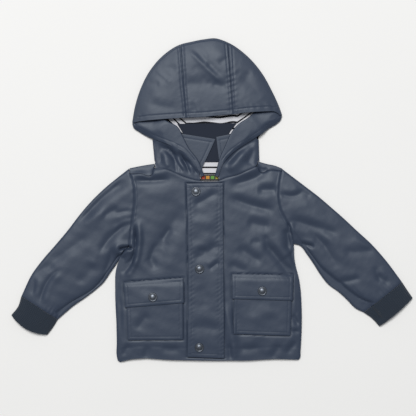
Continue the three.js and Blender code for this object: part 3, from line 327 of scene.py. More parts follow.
class Line:
    """A smooth line in the plan through the rows of a table."""

    STEPS = 12
    MANY = 30

    def __init__(self, rows: Rows, moved: float = 0.0, straight: bool = False) -> None:
        """Draws the line.

        Args:
            rows: Points x, y that it runs through.
            moved: How far it lies to its left of those points.
            straight: Whether it runs straight from point to point.
        """
        knots = np.array(rows, dtype=float)[:, :2]
        steps = np.diff(knots, axis=0)
        spans = np.linalg.norm(steps, axis=1)[:, None]
        units = steps / spans
        heading = np.vstack([units[:1], units[:-1] / spans[:-1] + units[1:] / spans[1:], units[-1:]])
        heading /= np.linalg.norm(heading, axis=1)[:, None]
        t = (np.arange(self.STEPS) / self.STEPS)[None, :, None]
        start, end = knots[:-1, None], knots[1:, None]
        if straight:
            parts = start + (end - start) * t
        else:
            leave, arrive = (heading[:-1] * spans)[:, None], (heading[1:] * spans)[:, None]
            parts = ((2 * t**3 - 3 * t**2 + 1) * start + (t**3 - 2 * t**2 + t) * leave
                     + (3 * t**2 - 2 * t**3) * end + (t**3 - t**2) * arrive)
        self._set(np.vstack([parts.reshape(-1, 2), knots[-1:]]))
        if moved:
            self._set(self.points + self.normals() * moved)

    def _set(self, points: Array) -> None:
        """Takes the points and their distances along the line."""
        self.points = points
        self.along = np.concatenate([[0.0], np.cumsum(np.linalg.norm(np.diff(points, axis=0), axis=1))])

    @property
    def length(self) -> float:
        """Length in millimetres."""
        return float(self.along[-1])

    @classmethod
    def through(cls, points: Array) -> "Line":
        """Returns the line that has exactly these points."""
        line = cls.__new__(cls)
        line._set(points)
        return line

    @classmethod
    def chain(cls, *lines: "Line") -> "Line":
        """Joins lines end to end, with a corner where they meet."""
        return cls.through(np.vstack([lines[0].points, *[line.points[1:] for line in lines[1:]]]))

    def normals(self) -> Array:
        """Returns the unit direction to the left at each of its points."""
        slope = np.gradient(self.points, axis=0)
        slope /= np.linalg.norm(slope, axis=1)[:, None]
        return np.column_stack([-slope[:, 1], slope[:, 0]])

    @property
    def index(self) -> Array:
        """Row share of each of its points."""
        return np.arange(len(self.points)) / (len(self.points) - 1)

    def normals_at(self, share: Array) -> Array:
        """Returns the unit directions to its left at these row shares."""
        return pairs_at(share, self.index, self.normals())

    def back(self) -> "Line":
        """Returns the same line walked the other way."""
        return Line.through(self.points[::-1].copy())

    def at(self, share: Array) -> Array:
        """Returns the points at these shares of its length."""
        return pairs_at(np.asarray(share, dtype=float) * self.length, self.along, self.points)

    def by_row(self, share: Array) -> Array:
        """Returns the points at these shares, which run evenly from row to row of its table."""
        place = np.asarray(share, dtype=float) * (len(self.points) - 1)
        return pairs_at(place, np.arange(len(self.points)), self.points)

    def row_share(self, share: Array) -> Array:
        """Returns the row share of each share of its length."""
        return np.interp(np.asarray(share) * self.length, self.along, self.index)

    def length_share(self, share: Array) -> Array:
        """Returns the share of its length at each row share."""
        return np.interp(share, self.index, self.along / self.length)

    def nearest(self, x: Array, y: Array) -> tuple[Array, Array]:
        """Measures points against the line.

        Args:
            x: Plan x of the points.
            y: Plan y of the points.

        Returns:
            Distance from the line, above zero to its left, and the distance along it.
        """
        best = np.full(np.shape(x), np.inf)
        side = np.zeros(np.shape(x))
        reached = np.zeros(np.shape(x))
        every = self.points[::2] if len(self.points) > self.MANY else self.points
        along = self.along[::2] if len(self.points) > self.MANY else self.along
        for (ax, ay), (bx, by), start in zip(every[:-1], every[1:], along[:-1]):
            dx, dy = bx - ax, by - ay
            span = dx * dx + dy * dy
            t = np.clip(((x - ax) * dx + (y - ay) * dy) / span, 0.0, 1.0)
            away = (x - ax - t * dx) ** 2 + (y - ay - t * dy) ** 2
            closer = away < best
            best = np.where(closer, away, best)
            side = np.where(closer, dx * (y - ay) - dy * (x - ax), side)
            reached = np.where(closer, start + t * math.sqrt(span), reached)
        return np.sqrt(best) * np.where(side < 0, -1.0, 1.0), reached


def edges(rows: Rows) -> tuple[Line, Line]:
    """Returns the two edge lines of a table whose rows hold x, y and x, y."""
    table = np.array(rows, dtype=float)
    return Line(table[:, :2]), Line(table[:, 2:4])


def around(rows: Rows, out: float) -> Line:
    """Returns the line round a flat piece, this far outside its edges."""
    table = np.array(rows, dtype=float)
    left, right = table[:, :2] - [out, 0.0], table[::-1, 2:] + [out, 0.0]
    left[0, 1], left[-1, 1] = left[0, 1] + out, left[-1, 1] - out
    right[0, 1], right[-1, 1] = right[0, 1] - out, right[-1, 1] + out
    return Line([*left, *right, left[0]], straight=True)


def spaced(length: float, start: float = 9.0, end: float = 9.0, fine: float = 0.75,
           coarse: float = 2.2) -> Array:
    """Spaces grid lines closely near the two ends, where the sewing is, and wider between.

    Args:
        length: Length to fill, in millimetres.
        start: How far the close spacing runs from the start.
        end: How far it runs back from the end.
        fine: Close spacing.
        coarse: Wide spacing.

    Returns:
        Shares of the length from 0 to 1.
    """
    middle = max(length - start - end, coarse)
    parts = [np.linspace(0, start, max(round(start / fine), 1), endpoint=False),
             np.linspace(start, start + middle, max(round(middle / coarse), 2), endpoint=False),
             np.linspace(start + middle, start + middle + end, max(round(end / fine), 1) + 1)]
    places = np.concatenate(parts)
    return places / places[-1]


class Relief(Protocol):
    """Anything that adds to the height of the cloth."""

    def height(self, x: Array, y: Array) -> Array:
        """Returns the millimetres that it adds at points of the plan."""


def add_up(parts: Sequence[Relief], x: Array, y: Array) -> Array:
    """Returns the height that all these parts add at points of the plan."""
    return sum(part.height(x, y) for part in parts)


@dataclass
class Fold:
    """One fold or crease of the cloth, drawn as a soft trough or ridge with a lip beside it."""

    REACH = 4.0
    FADE = 0.3
    FADE_FROM = 0.15
    LIP_AWAY = 1.9
    LIP_WIDTH = 1.2

    row: Sequence[float]
    line: Line = field(init=False)

    def __post_init__(self) -> None:
        """Draws its line, a curve through the three points of its row."""
        start, middle, end = np.array(self.row[:6], dtype=float).reshape(3, 2)
        t = np.linspace(0, 1, 11)[:, None]
        self.line = Line.through((1 - t) ** 2 * start + 2 * t * (1 - t) * middle + t**2 * end)

    def height(self, x: Array, y: Array) -> Array:
        """Gives its height at points of the plan.

        Args:
            x: Plan x of the points.
            y: Plan y of the points.

        Returns:
            Millimetres that it adds to the cloth's height.
        """
        width, rise, lip, crisp = self.row[6:10]
        reach = self.REACH * width
        low, high = self.line.points.min(0) - reach, self.line.points.max(0) + reach
        near = (x > low[0]) & (x < high[0]) & (y > low[1]) & (y < high[1])
        total = np.zeros_like(x, dtype=float)
        if not near.any():
            return total
        away, along = self.line.nearest(x[near], y[near])
        share = along / self.line.length
        fade = smooth(share / self.FADE + self.FADE_FROM) * smooth((1 - share) / self.FADE + self.FADE_FROM)
        soft = np.exp(-((away / width) ** 2))
        sharp = np.exp(-1.5 * np.sqrt((away / width) ** 2 + 0.015))
        beside = np.exp(-(((away - self.LIP_AWAY * width) / (self.LIP_WIDTH * width)) ** 2))
        total[near] = FOLD_GAIN * rise * fade * (mix(soft, sharp, crisp) - lip * beside)
        return total


@dataclass
class Ripple:
    """Small puckers that cross a sewn line."""

    line: Line
    pitch: float
    rise: float
    reach: float
    slant: float = 0.0
    seed: int = 0
    strength: float = 0.55
    uneven: float = 0.45
    jitter: float = 1.6

    def height(self, x: Array, y: Array) -> Array:
        """Gives the puckers' height at points of the plan.

        Args:
            x: Plan x of the points.
            y: Plan y of the points.

        Returns:
            Millimetres that they add to the cloth's height.
        """
        away, along = self.line.nearest(x, y)
        uneven = wander(along, along * 0 + self.seed, 4.5 * self.pitch, self.seed + 11)
        strength = self.strength + self.uneven * wander(along, along * 0, 9 * self.pitch, self.seed + 31)
        phase = 2 * math.pi * (along + self.slant * away) / self.pitch + self.jitter * uneven
        return self.rise * strength * np.sin(phase) * np.exp(-((away / self.reach) ** 2))


@dataclass
class Groove:
    """The dip of a seam or a row of topstitching in the cloth."""

    line: Line
    width: float = 0.9
    depth: float = 0.45

    def height(self, x: Array, y: Array) -> Array:
        """Returns the dip at points of the plan, in millimetres."""
        away, _ = self.line.nearest(x, y)
        return -self.depth * np.exp(-((away / self.width) ** 2))


@dataclass
class Tuck:
    """A line at which the upper cloth turns under, with the layer beyond it lying lower."""

    line: Line
    drop: float = 2.8
    drop_width: float = 1.6
    drop_reach: float = 40.0
    rolled: float = 2.4
    roll_width: float = 1.4
    start_fade: float = 12.0
    end_fade: float = 6.0

    def height(self, x: Array, y: Array) -> Array:
        """Gives the step at points of the plan.

        Args:
            x: Plan x of the points.
            y: Plan y of the points.

        Returns:
            Millimetres that it adds to the cloth's height.
        """
        away, along = self.line.nearest(x, y)
        ends = smooth(along / self.start_fade) * smooth((self.line.length - along) / self.end_fade + 0.3)
        step = self.drop * smooth(away / self.drop_width)
        rolled = self.rolled * np.exp(-np.abs(away) / self.roll_width)
        return -ends * (step * np.exp(-(np.maximum(away, 0) / self.drop_reach) ** 2) + rolled)


@dataclass
class Hollow:
    """A steep hollow between bunched cloth, with a raised rim."""

    row: Sequence[float]

    def height(self, x: Array, y: Array) -> Array:
        """Gives the hollow, a sharp valley, and its rim at points of the plan.

        Args:
            x: Plan x of the points.
            y: Plan y of the points.

        Returns:
            Millimetres that it adds to the cloth's height.
        """
        width, depth, rise, reach = self.row[6:10]
        away = np.abs(Fold(self.row).line.nearest(x, y)[0])
        return rise * np.exp(-((away / reach) ** 2)) - depth * np.exp(-((away / width) ** 1.6))


@dataclass
class Rumple:
    """Slow uneven rise and fall of a whole layer."""

    rise: float
    pitch: float
    seed: int

    def height(self, x: Array, y: Array) -> Array:
        """Returns the rise at points of the plan, in millimetres."""
        return self.rise * wander(x, y, self.pitch, self.seed)


class Lay:
    """The heights of the laid coat: how each upper layer lies above the surface."""

    def __init__(self) -> None:
        """Draws the outlines and folds."""
        sleeves = {"left": (SLEEVE_LEFT, CUFF_LEFT), "right": (SLEEVE_RIGHT, CUFF_RIGHT)}
        tables = {side: [*sleeve, *cuff[1:]] for side, (sleeve, cuff) in sleeves.items()}
        upper = {side: [row[:2] for row in rows] for side, rows in tables.items()}
        lower = {side: [row[2:] for row in rows] for side, rows in tables.items()}
        tables = [
            [*SIDE_LEFT, *lower["left"]], [*SIDE_RIGHT, *lower["right"]],
            [*upper["left"][::-1], *SHOULDER_EDGE_LEFT, *NECK_SIDE_LEFT],
            [*upper["right"][::-1], *SHOULDER_EDGE_RIGHT[::-1], *NECK_SIDE_RIGHT],
        ]
        self.outlines = [Line.through(Line(rows).points[::4]) for rows in tables]
        self.hood_outline = Line([row[2:4] for row in HOOD])
        self.folds = [*[Fold(row) for row in FOLDS], Rumple(0.28, 34, 3), Rumple(0.05, 15, 5)]
        self.hood_folds = [*[Fold(row) for row in HOOD_FOLDS], Rumple(0.35, 38, 7), Rumple(0.05, 16, 9)]
        self.tucks = [Tuck(Line(rows)) for rows in UNDERARMS]
        self.hollow = Hollow(HOLLOW)

    def inside(self, x: Array, y: Array) -> Array:
        """Returns the distance from the nearest outline."""
        return np.min([np.abs(line.nearest(x, y)[0]) for line in self.outlines], axis=0)

    def body(self, x: Array, y: Array) -> Array:
        """Gives the middle height of the upper layer of body, sleeves and neck.

        Args:
            x: Plan x of the points.
            y: Plan y of the points.

        Returns:
            Height in millimetres.
        """
        inside = self.inside(x, y)
        hem = mix(HEM_LOFT, 1.0, smooth((y - HEM_Y) / HEM_REACH))
        loft = LOFT * swell(inside / LOFT_REACH) * hem
        lift = NECK_LIFT * smooth((y - NECK_START) / NECK_REACH) * smooth(inside / NECK_REACH)
        folds = add_up(self.folds, x, y) * smooth(inside / FOLD_START) * mix(HEM_FOLDS, 1.0, hem)
        height = EDGE + loft + lift + folds + add_up(self.tucks, x, y) + self.hollow.height(x, y)
        return np.maximum(height, LOWEST)

    def hood(self, x: Array, y: Array) -> Array:
        """Gives the middle height of the upper layer of the hood.

        Args:
            x: Plan x of the points.
            y: Plan y of the points.

        Returns:
            Height in millimetres.
        """
        inside = np.abs(self.hood_outline.nearest(x, y)[0])
        folds = add_up(self.hood_folds, x, y) * smooth(inside / HOOD_FOLD_START)
        return HOOD_EDGE + HOOD_LOFT * swell(inside / HOOD_REACH) + folds


class Shade:
    """A shader socket whose arithmetic adds Math nodes."""

    def __init__(self, tree: "Finish", socket: bpy.types.NodeSocket) -> None:
        """Wraps a socket of a finish's node tree."""
        self.tree = tree
        self.socket = socket

    def _math(self, operation: str, *values: object) -> "Shade":
        """Returns a Math node's result on these values."""
        return self.tree.node("ShaderNodeMath", {"operation": operation}, dict(enumerate(values)))

    def __add__(self, other: object) -> "Shade":
        """Adds."""
        return self._math("ADD", self, other)

    __radd__ = __add__

    def __mul__(self, other: object) -> "Shade":
        """Multiplies."""
        return self._math("MULTIPLY", self, other)

    def __sub__(self, other: object) -> "Shade":
        """Subtracts other from this."""
        return self._math("SUBTRACT", self, other)

    def __truediv__(self, other: object) -> "Shade":
        """Divides by other."""
        return self._math("DIVIDE", self, other)

    def __gt__(self, other: object) -> "Shade":
        """Is 1 where this is the greater."""
        return self._math("GREATER_THAN", self, other)

    def __lt__(self, other: object) -> "Shade":
        """Is 1 where this is the smaller."""
        return self._math("LESS_THAN", self, other)

    def apply(self, operation: str, *values: object) -> "Shade":
        """Returns a named Math operation on this and other values."""
        return self._math(operation, self, *values)

    def wave(self, rate: float = 1.0) -> "Shade":
        """Returns a wave between 0 and 1 that runs through this many turns to a unit."""
        return (self * (2 * math.pi * rate)).apply("SINE") * 0.5 + 0.5


class Finish:
    """A material under construction: its node tree and the ways to add to it."""

    def __init__(self, name: str) -> None:
        """Starts an empty material with its shader and output."""
        self.material = bpy.data.materials.new(name)
        self.material.use_nodes = True
        self.nodes = self.material.node_tree.nodes
        self.links = self.material.node_tree.links
        self.nodes.clear()
        self.shader = self.nodes.new("ShaderNodeBsdfPrincipled")
        output = self.nodes.new("ShaderNodeOutputMaterial")
        self.links.new(self.shader.outputs["BSDF"], output.inputs["Surface"])

    def node(self, kind: str, settings: dict, inputs: dict, output: object = 0) -> Shade:
        """Adds a node.

        Args:
            kind: Type of the node.
            settings: Its settings, set before its inputs. A list of stops sets a colour ramp.
            inputs: Values or links of its sockets, by name or number.
            output: Name or number of the output that is wanted.

        Returns:
            That output.
        """
        made = self.nodes.new(kind)
        for key, value in settings.items():
            if key == "stops":
                self._ramp(made, value)
            else:
                setattr(made, key, value)
        for key, value in inputs.items():
            self.feed(made.inputs[key], value)
        return Shade(self, made.outputs[output])

    def _ramp(self, made: bpy.types.Node, stops: Sequence[tuple[float, Sequence[float]]]) -> None:
        """Sets the stops of a colour ramp."""
        ramp = made.color_ramp.elements
        while len(ramp) < len(stops):
            ramp.new(0.5)
        for element, (place, colour) in zip(ramp, stops):
            element.position = place
            element.color = (*colour, 1.0)

    def feed(self, socket: bpy.types.NodeSocket, value: object) -> None:
        """Links a socket, or sets it where the value is plain."""
        if isinstance(value, Shade):
            self.links.new(value.socket, socket)
        elif isinstance(value, (tuple, list)) and len(value) == 3 and socket.type == "RGBA":
            socket.default_value = (*value, 1.0)
        else:
            socket.default_value = value

    def set(self, **values: object) -> None:
        """Sets or links sockets of the shader, whose names have underscores for spaces."""
        for key, value in values.items():
            self.feed(self.shader.inputs[key.replace("_", " ")], value)

    def place(self, kind: str = "Object") -> Shade:
        """Returns a texture coordinate of the piece."""
        return self.node("ShaderNodeTexCoord", {}, {}, kind)

    def parts(self, vector: Shade) -> tuple[Shade, Shade, Shade]:
        """Returns the x, y and z of a vector."""
        made = self.nodes.new("ShaderNodeSeparateXYZ")
        self.feed(made.inputs[0], vector)
        return tuple(Shade(self, made.outputs[axis]) for axis in range(3))

    def noise(self, scale: float, detail: float = 2.0, rough: float = 0.5) -> Shade:
        """Returns noise with this many waves to the metre."""
        inputs = {"Vector": self.place(), "Scale": scale, "Detail": detail, "Roughness": rough}
        return self.node("ShaderNodeTexNoise", {}, inputs, "Fac")

    def colours(self, share: object, low: Sequence[float], high: Sequence[float]) -> Shade:
        """Returns the colour at this share of the way from low to high."""
        inputs = {0: share, 6: low, 7: high}
        return self.node("ShaderNodeMix", {"data_type": "RGBA", "clamp_factor": True}, inputs, 2)

    def bump(self, height: object, distance: float, strength: float = 1.0,
             under: Shade | None = None) -> Shade:
        """Returns a normal bent by a height between 0 and 1 that stands for this distance in metres."""
        inputs = {"Height": height, "Distance": distance, "Strength": strength}
        if under is not None:
            inputs["Normal"] = under
        return self.node("ShaderNodeBump", {}, inputs)


@dataclass(frozen=True)
class CoatedCloth:
    """Soft polyurethane-coated cloth, slate navy, half matt."""

    name: str = "coated_cloth_finish"
    colour: Colour = (0.024, 0.036, 0.066)
    worn: Colour = (0.031, 0.044, 0.075)
    gloss: Colour = (0.88, 0.95, 1.0)
    roughness: float = 0.49

    def make(self) -> bpy.types.Material:
        """Builds the material: faint cloudiness, a fine grain and slight rumples in the coating."""
        finish = Finish(self.name)
        cloud = finish.noise(28.0, 4.0, 0.6)
        grain = finish.noise(1500.0, 2.0, 0.6)
        rumple = finish.noise(95.0, 3.0, 0.55)
        cells = {"Vector": finish.place(), "Scale": 900.0}
        weave = finish.node("ShaderNodeTexVoronoi", {"feature": "F1"}, cells)
        tone = cloud * 0.8 + grain * 0.2
        finish.set(Base_Color=finish.colours(tone, self.colour, self.worn))
        finish.set(Roughness=self.roughness - 0.05 + cloud * 0.07 + grain * 0.05)
        first = finish.bump(rumple, 0.0016, 0.14)
        second = finish.bump(grain * 0.5 + weave * 0.5, 0.00012, 0.5, first)
        finish.set(Normal=second, Specular_IOR_Level=0.53, Specular_Tint=self.gloss, IOR=1.48)
        return finish.material


@dataclass(frozen=True)
class RibKnit:
    """Navy rib knit of the cuffs, matt and slightly fuzzy."""

    name: str = "rib_knit_finish"
    colour: Colour = (0.010, 0.016, 0.028)
    # Lighter colour of the loops' crowns: a painted highlight.
    raised: Colour = (0.029, 0.042, 0.062)
    rows: float = 16.0
    wales: float = 160.0

    def make(self) -> bpy.types.Material:
        """Builds the material: loops in rows along the ribs, with a painted highlight on their crowns and
        painted shade between them, mixed with a random fuzz.
        """
        finish = Finish(self.name)
        across, along, _ = finish.parts(finish.place("UV"))
        slant = (across * self.wales).apply("PINGPONG", 0.5)
        loops = (along * self.rows + slant).wave()
        fuzz = finish.noise(2200.0, 3.0, 0.7)
        # Painted light and shade of the loops, mixed with random fuzz; the same tone also drives the bump.
        tone = loops * 0.45 + fuzz * 0.55
        finish.set(Base_Color=finish.colours(tone, self.colour, self.raised), Roughness=0.95)
        finish.set(Normal=finish.bump(tone, 0.0005, 0.8), Specular_IOR_Level=0.25, Sheen_Weight=0.25)
        return finish.material


@dataclass(frozen=True)
class NavyJersey:
    """Dark jersey inside the back neck."""

    name: str = "navy_jersey_finish"
    colour: Colour = (0.014, 0.019, 0.032)
    # Lighter colour of the wales' crowns: a painted highlight.
    raised: Colour = (0.026, 0.033, 0.052)

    def make(self) -> bpy.types.Material:
        """Builds the material: fine wales with a painted highlight on their crowns and painted shade between
        them, and a soft random fuzz.
        """
        finish = Finish(self.name)
        x, _, _ = finish.parts(finish.place())
        wales = x.wave(900.0)
        fuzz = finish.noise(1800.0, 2.0, 0.7)
        # Painted light and shade of the wales, mixed with random fuzz; the same tone also drives the bump.
        tone = wales * 0.4 + fuzz * 0.6
        finish.set(Base_Color=finish.colours(tone, self.colour, self.raised), Roughness=0.93)
        finish.set(Normal=finish.bump(tone, 0.0002, 0.5), Specular_IOR_Level=0.25)
        return finish.material


@dataclass(frozen=True)
class StripedJersey:
    """White jersey with black stripes, the lining."""

    name: str = "striped_jersey_finish"
    white: Colour = (0.72, 0.73, 0.78)
    black: Colour = (0.008, 0.009, 0.013)
    repeat: float = 0.0105
    share: float = 0.30
    start: float = 0.0
    waver: float = 0.007
    calm: float = 0.042
    steep: float = 0.9

    def make(self) -> bpy.types.Material:
        """Builds the material: stripes across the piece that waver where the jersey is rumpled."""
        finish = Finish(self.name)
        x, y, _ = finish.parts(finish.place())
        drift = finish.noise(22.0, 1.0, 0.4)
        steep = (x.apply("ABSOLUTE") - self.calm).apply("MAXIMUM", 0.0) * self.steep
        place = y + (drift - 0.5) * (2 * self.waver) - self.start - steep
        stripe = (place / self.repeat).apply("FRACT") < self.share
        wales = x.wave(800.0)
        shade = finish.noise(60.0, 2.0, 0.5)
        white = finish.colours(shade, tuple(0.82 * value for value in self.white), self.white)
        finish.set(Base_Color=finish.colours(stripe, white, self.black), Roughness=0.9)
        finish.set(Normal=finish.bump(wales, 0.0002, 0.4), Specular_IOR_Level=0.25)
        return finish.material


@dataclass(frozen=True)
class WovenLabel:
    """Dark woven label with plain blocks of colour."""

    name: str = "woven_label_finish"
    ground: Colour = (0.020, 0.021, 0.022)
    blocks: tuple[tuple[float, float, Colour], ...] = (
        (0.10, 0.27, (0.45, 0.055, 0.02)), (0.33, 0.50, (0.50, 0.24, 0.02)),
        (0.56, 0.73, (0.10, 0.30, 0.04)), (0.79, 0.93, (0.42, 0.36, 0.05)),
    )
    band: tuple[float, float] = (0.36, 0.74)

    def make(self) -> bpy.types.Material:
        """Builds the material: a dark ground with four plain blocks, in the weave of a label."""
        finish = Finish(self.name)
        across, along, _ = finish.parts(finish.place("UV"))
        stops = [(0.0, self.ground)]
        for start, end, colour in self.blocks:
            stops += [(start, colour), (end, self.ground)]
        ramp = finish.node("ShaderNodeValToRGB", {"stops": stops}, {0: across})
        ramp.socket.node.color_ramp.interpolation = "CONSTANT"
        band = (along > self.band[0]) * (along < self.band[1])
        finish.set(Base_Color=finish.colours(band, self.ground, ramp), Roughness=0.6)
        finish.set(Normal=finish.bump(across.wave(60.0), 0.00015, 0.5))
        return finish.material


@dataclass(frozen=True)
class SnapMetal:
    """Gunmetal of the snap caps."""

    name: str = "snap_metal_finish"
    colour: Colour = (0.17, 0.19, 0.22)
    dull: Colour = (0.06, 0.07, 0.09)

    def make(self) -> bpy.types.Material:
        """Builds the material: brushed metal with slightly dull patches."""
        finish = Finish(self.name)
        cloud = finish.noise(420.0, 3.0, 0.6)
        fine = finish.noise(3200.0, 2.0, 0.6)
        finish.set(Base_Color=finish.colours(cloud, self.dull, self.colour), Metallic=0.9)
        finish.set(Roughness=0.32 + cloud * 0.12, Normal=finish.bump(fine, 0.00004, 0.4))
        return finish.material


@dataclass(frozen=True)
class SeamThread:
    """Navy sewing thread, a little lighter than the cloth."""

    name: str = "seam_thread"
    colour: Colour = (0.040, 0.053, 0.085)
    light: Colour = (0.085, 0.105, 0.150)

    def make(self) -> bpy.types.Material:
        """Builds the material: a twist of two tones."""
        finish = Finish(self.name)
        twist = finish.noise(2600.0, 2.0, 0.6)
        finish.set(Base_Color=finish.colours(twist, self.colour, self.light), Roughness=0.6)
        finish.set(Normal=finish.bump(twist, 0.00008, 0.5))
        return finish.material


@dataclass(frozen=True)
class PaleSurface:
    """Plain pale surface under the coat."""

    name: str = "pale_surface"
    colour: Colour = (0.88, 0.88, 0.875)

    def make(self) -> bpy.types.Material:
        """Builds the material: almost even, with a faint tooth."""
        finish = Finish(self.name)
        cloud = finish.noise(5.0, 2.0, 0.5)
        low = tuple(0.985 * value for value in self.colour)
        finish.set(Base_Color=finish.colours(cloud, low, self.colour), Roughness=0.85)
        finish.set(Normal=finish.bump(finish.noise(900.0, 2.0, 0.6), 0.0001, 0.3), Specular_IOR_Level=0.2)
        return finish.material


class Look(Enum):
    """The finishes of the coat."""

    COATED = CoatedCloth()
    RIB = RibKnit()
    NAVY = NavyJersey()
    STRIPED = StripedJersey()
    NECK_STRIPED = StripedJersey("neck_stripes_finish", repeat=0.0104, share=0.27, start=0.0528, waver=0.0004,
                                 calm=1.0)
    LABEL = WovenLabel()
    METAL = SnapMetal()
    THREAD = SeamThread()
    SURFACE = PaleSurface()

    def material(self) -> bpy.types.Material:
        """Returns the finish's material, made once."""
        return bpy.data.materials.get(self.value.name) or self.value.make()


class Shop:
    """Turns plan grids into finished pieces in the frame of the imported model."""

    ROUNDED = 0.3
    SAME_PLACE = 0.02

    def __init__(self) -> None:
        """Finds where the tables' origin lies in the frame."""
        low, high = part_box("hood_lining")
        table = np.array(LINING, dtype=float)
        xs, ys = table[:, [0, 2]], table[:, [1, 3]]
        self.shift = np.array([
            (low.x + high.x) / 2 / MM - (xs.min() + xs.max()) / 2,
            (low.y + high.y) / 2 / MM - (ys.min() + ys.max()) / 2, 0.0])

    def put(self, points: Array) -> Array:
        """Returns table points in millimetres as frame points in metres."""
        return (np.asarray(points, dtype=float) + self.shift) * MM

    def grid_mesh(self, points: Array) -> bmesh.types.BMesh:
        """Shapes a grid of quads to points.

        Args:
            points: Rows by columns by x, y, z in millimetres, with the outer side up where x and y both grow.

        Returns:
            The mesh, with a UV map that runs from 0 to 1 both ways.
        """
        rows, columns = points.shape[:2]
        mesh = bmesh.new()
        mesh.loops.layers.uv.new("UVMap")
        bmesh.ops.create_grid(mesh, x_segments=columns - 1, y_segments=rows - 1, size=1.0, calc_uvs=True)
        mesh.verts.ensure_lookup_table()
        for vertex, place in zip(mesh.verts, self.put(points).reshape(-1, 3)):
            vertex.co = place
        return mesh

    def add_grid(self, mesh: bmesh.types.BMesh, points: Array) -> None:
        """Adds another grid to a mesh.

        Args:
            mesh: The mesh that it is added to.
            points: Rows by columns by x, y, z in millimetres.
        """
        part = self.grid_mesh(points)
        data = bpy.data.meshes.new("part")
        part.to_mesh(data)
        part.free()
        mesh.from_mesh(data)
        bpy.data.meshes.remove(data)

    def finish(self, name: str, mesh: bmesh.types.BMesh, look: Look, wall: float = 0.0,
               merge: bool = False) -> bpy.types.Object:
        """Makes a piece of a mesh.

        Args:
            name: Name of the piece.
            mesh: Its mesh, used up by this.
            look: Its finish.
            wall: Thickness that it gets, in millimetres, or none.
            merge: Whether points in one place are merged first.

        Returns:
            The piece.
        """
        if merge:
            bmesh.ops.remove_doubles(mesh, verts=mesh.verts, dist=self.SAME_PLACE * MM)
        data = bpy.data.meshes.new(name + "_cloth")
        mesh.to_mesh(data)
        mesh.free()
        data.polygons.foreach_set("use_smooth", [True] * len(data.polygons))
        piece = bpy.data.objects.new("made_" + name, data)
        bpy.context.scene.collection.objects.link(piece)
        data.materials.append(look.material())
        if wall:
            solid = piece.modifiers.new("wall", "SOLIDIFY")
            solid.thickness = wall * MM
            solid.offset = 0.0
            rounded = piece.modifiers.new("rounded_edge", "BEVEL")
            rounded.width = wall * self.ROUNDED * MM
            rounded.segments = 2
            rounded.limit_method = "ANGLE"
            rounded.angle_limit = math.radians(50)
        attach(piece, "root")
        return piece


SHOP = Shop()
LAY = Lay()


@dataclass
class Stitching:
    """Rows of topstitching on a piece, each stitch a small raised loop of thread."""

    name: str
    lines: Sequence[Line]
    top: Height
    length: float = 2.3
    gap: float = 0.7
    thick: float = 0.55

    def build(self) -> bpy.types.Object:
        """Builds all rows as one piece, on the outer face whose height is given.

        Returns:
            The piece.
        """
        mesh = bmesh.new()
        for line in self.lines:
            count = max(int(line.length // (self.length + self.gap)), 1)
            middle = (np.arange(count) + 0.5) / count
            half = self.length / 2 / line.length
            ends = [line.at(middle - half), line.at(middle + half)]
            first, last = [SHOP.put(np.column_stack([plan, self.top(*plan.T)])) for plan in ends]
            for a, b in zip(first, last):
                self._stitch(mesh, Vector(a), Vector(b))
        piece = SHOP.finish(self.name + "_topstitching", mesh, Look.THREAD)
        return piece

    def _stitch(self, mesh: bmesh.types.BMesh, start: Vector, end: Vector) -> None:
        """Adds one stitch from start to end."""
        along = (end - start).normalized()
        side = along.cross(Vector((0, 0, 1))).normalized()
        up = side.cross(along)
        half = self.thick / 2 * MM
        shape = Matrix((along * (end - start).length / 2, side * half, up * half * 0.8)).transposed().to_4x4()
        place = Matrix.Translation((start + end) / 2 + up * half * 0.25)
        bmesh.ops.create_icosphere(mesh, subdivisions=1, radius=1.0, matrix=place @ shape)


@dataclass
class Piece:
    """A piece of cloth: what it replaces, its wall and the size that it is cut to."""

    name: str
    look: Look = Look.COATED
    slot: str = "coated_cloth"
    wall: float = CLOTH
    flat: tuple[float, float] = (100.0, 100.0)
    area: float | None = None
    rests_on: tuple[str, ...] = ()

    def make(self, grid: Array, sewing: Stitching | None = None, merge: bool = False) -> bpy.types.Object:
        """Makes the piece from a grid of points, with its topstitching, and hides the imported part that it
        replaces.

        Args:
            grid: Rows by columns by x, y, z in millimetres.
            sewing: Topstitching on it.
            merge: Whether points in one place are merged first.

        Returns:
            The piece.
        """
        piece = SHOP.finish(self.name, SHOP.grid_mesh(grid), self.look, self.wall, merge)
        return self.declare(piece, [sewing.build()] if sewing else [])

    def declare(self, piece: bpy.types.Object,
                with_pieces: Sequence[bpy.types.Object] = ()) -> bpy.types.Object:
        """Hides the imported part that the piece stands for.

        Args:
            piece: The finished piece.
            with_pieces: Separate pieces on it, such as its stitching. Not used.

        Returns:
            The piece.
        """
        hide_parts(self.name)
        width, length = self.flat
        area = None if self.area is None else self.area * 1e-6
        width * MM
        length * MM
        list(self.rests_on)
        return piece


def plan_grid(bottom: Line, top: Line, left: Line, right: Line, u: Array, v: Array) -> Array:
    """Spans a grid between four edge lines.

    Args:
        bottom: Lower edge from left to right.
        top: Upper edge from left to right.
        left: Left edge from bottom to top.
        right: Right edge from bottom to top.
        u: Shares of the columns.
        v: Shares of the rows.

    Returns:
        Rows by columns by x, y.
    """
    across, along = u[None, :, None], v[:, None, None]
    ends = [line.at(np.array([0.0, 1.0])) for line in (bottom, top)]
    flat = mix(mix(ends[0][0], ends[0][1], across), mix(ends[1][0], ends[1][1], across), along)
    return (mix(bottom.at(u)[None], top.at(u)[None], along)
            + mix(left.at(v)[:, None], right.at(v)[:, None], across) - flat)


def raised(plan: Array, height: Height) -> Array:
    """Returns a plan grid with its heights."""
    x, y = plan[..., 0], plan[..., 1]
    return np.dstack([x, y, height(x.ravel(), y.ravel()).reshape(x.shape)])


def layered(start: Array, end: Array, shares: Array, height: Height) -> list[Array]:
    """Returns rows of x, y, z at these shares of the way from one row of points to another."""
    rows = [mix(start, end, t) for t in shares]
    return [np.column_stack([row, height(*row.T)]) for row in rows]


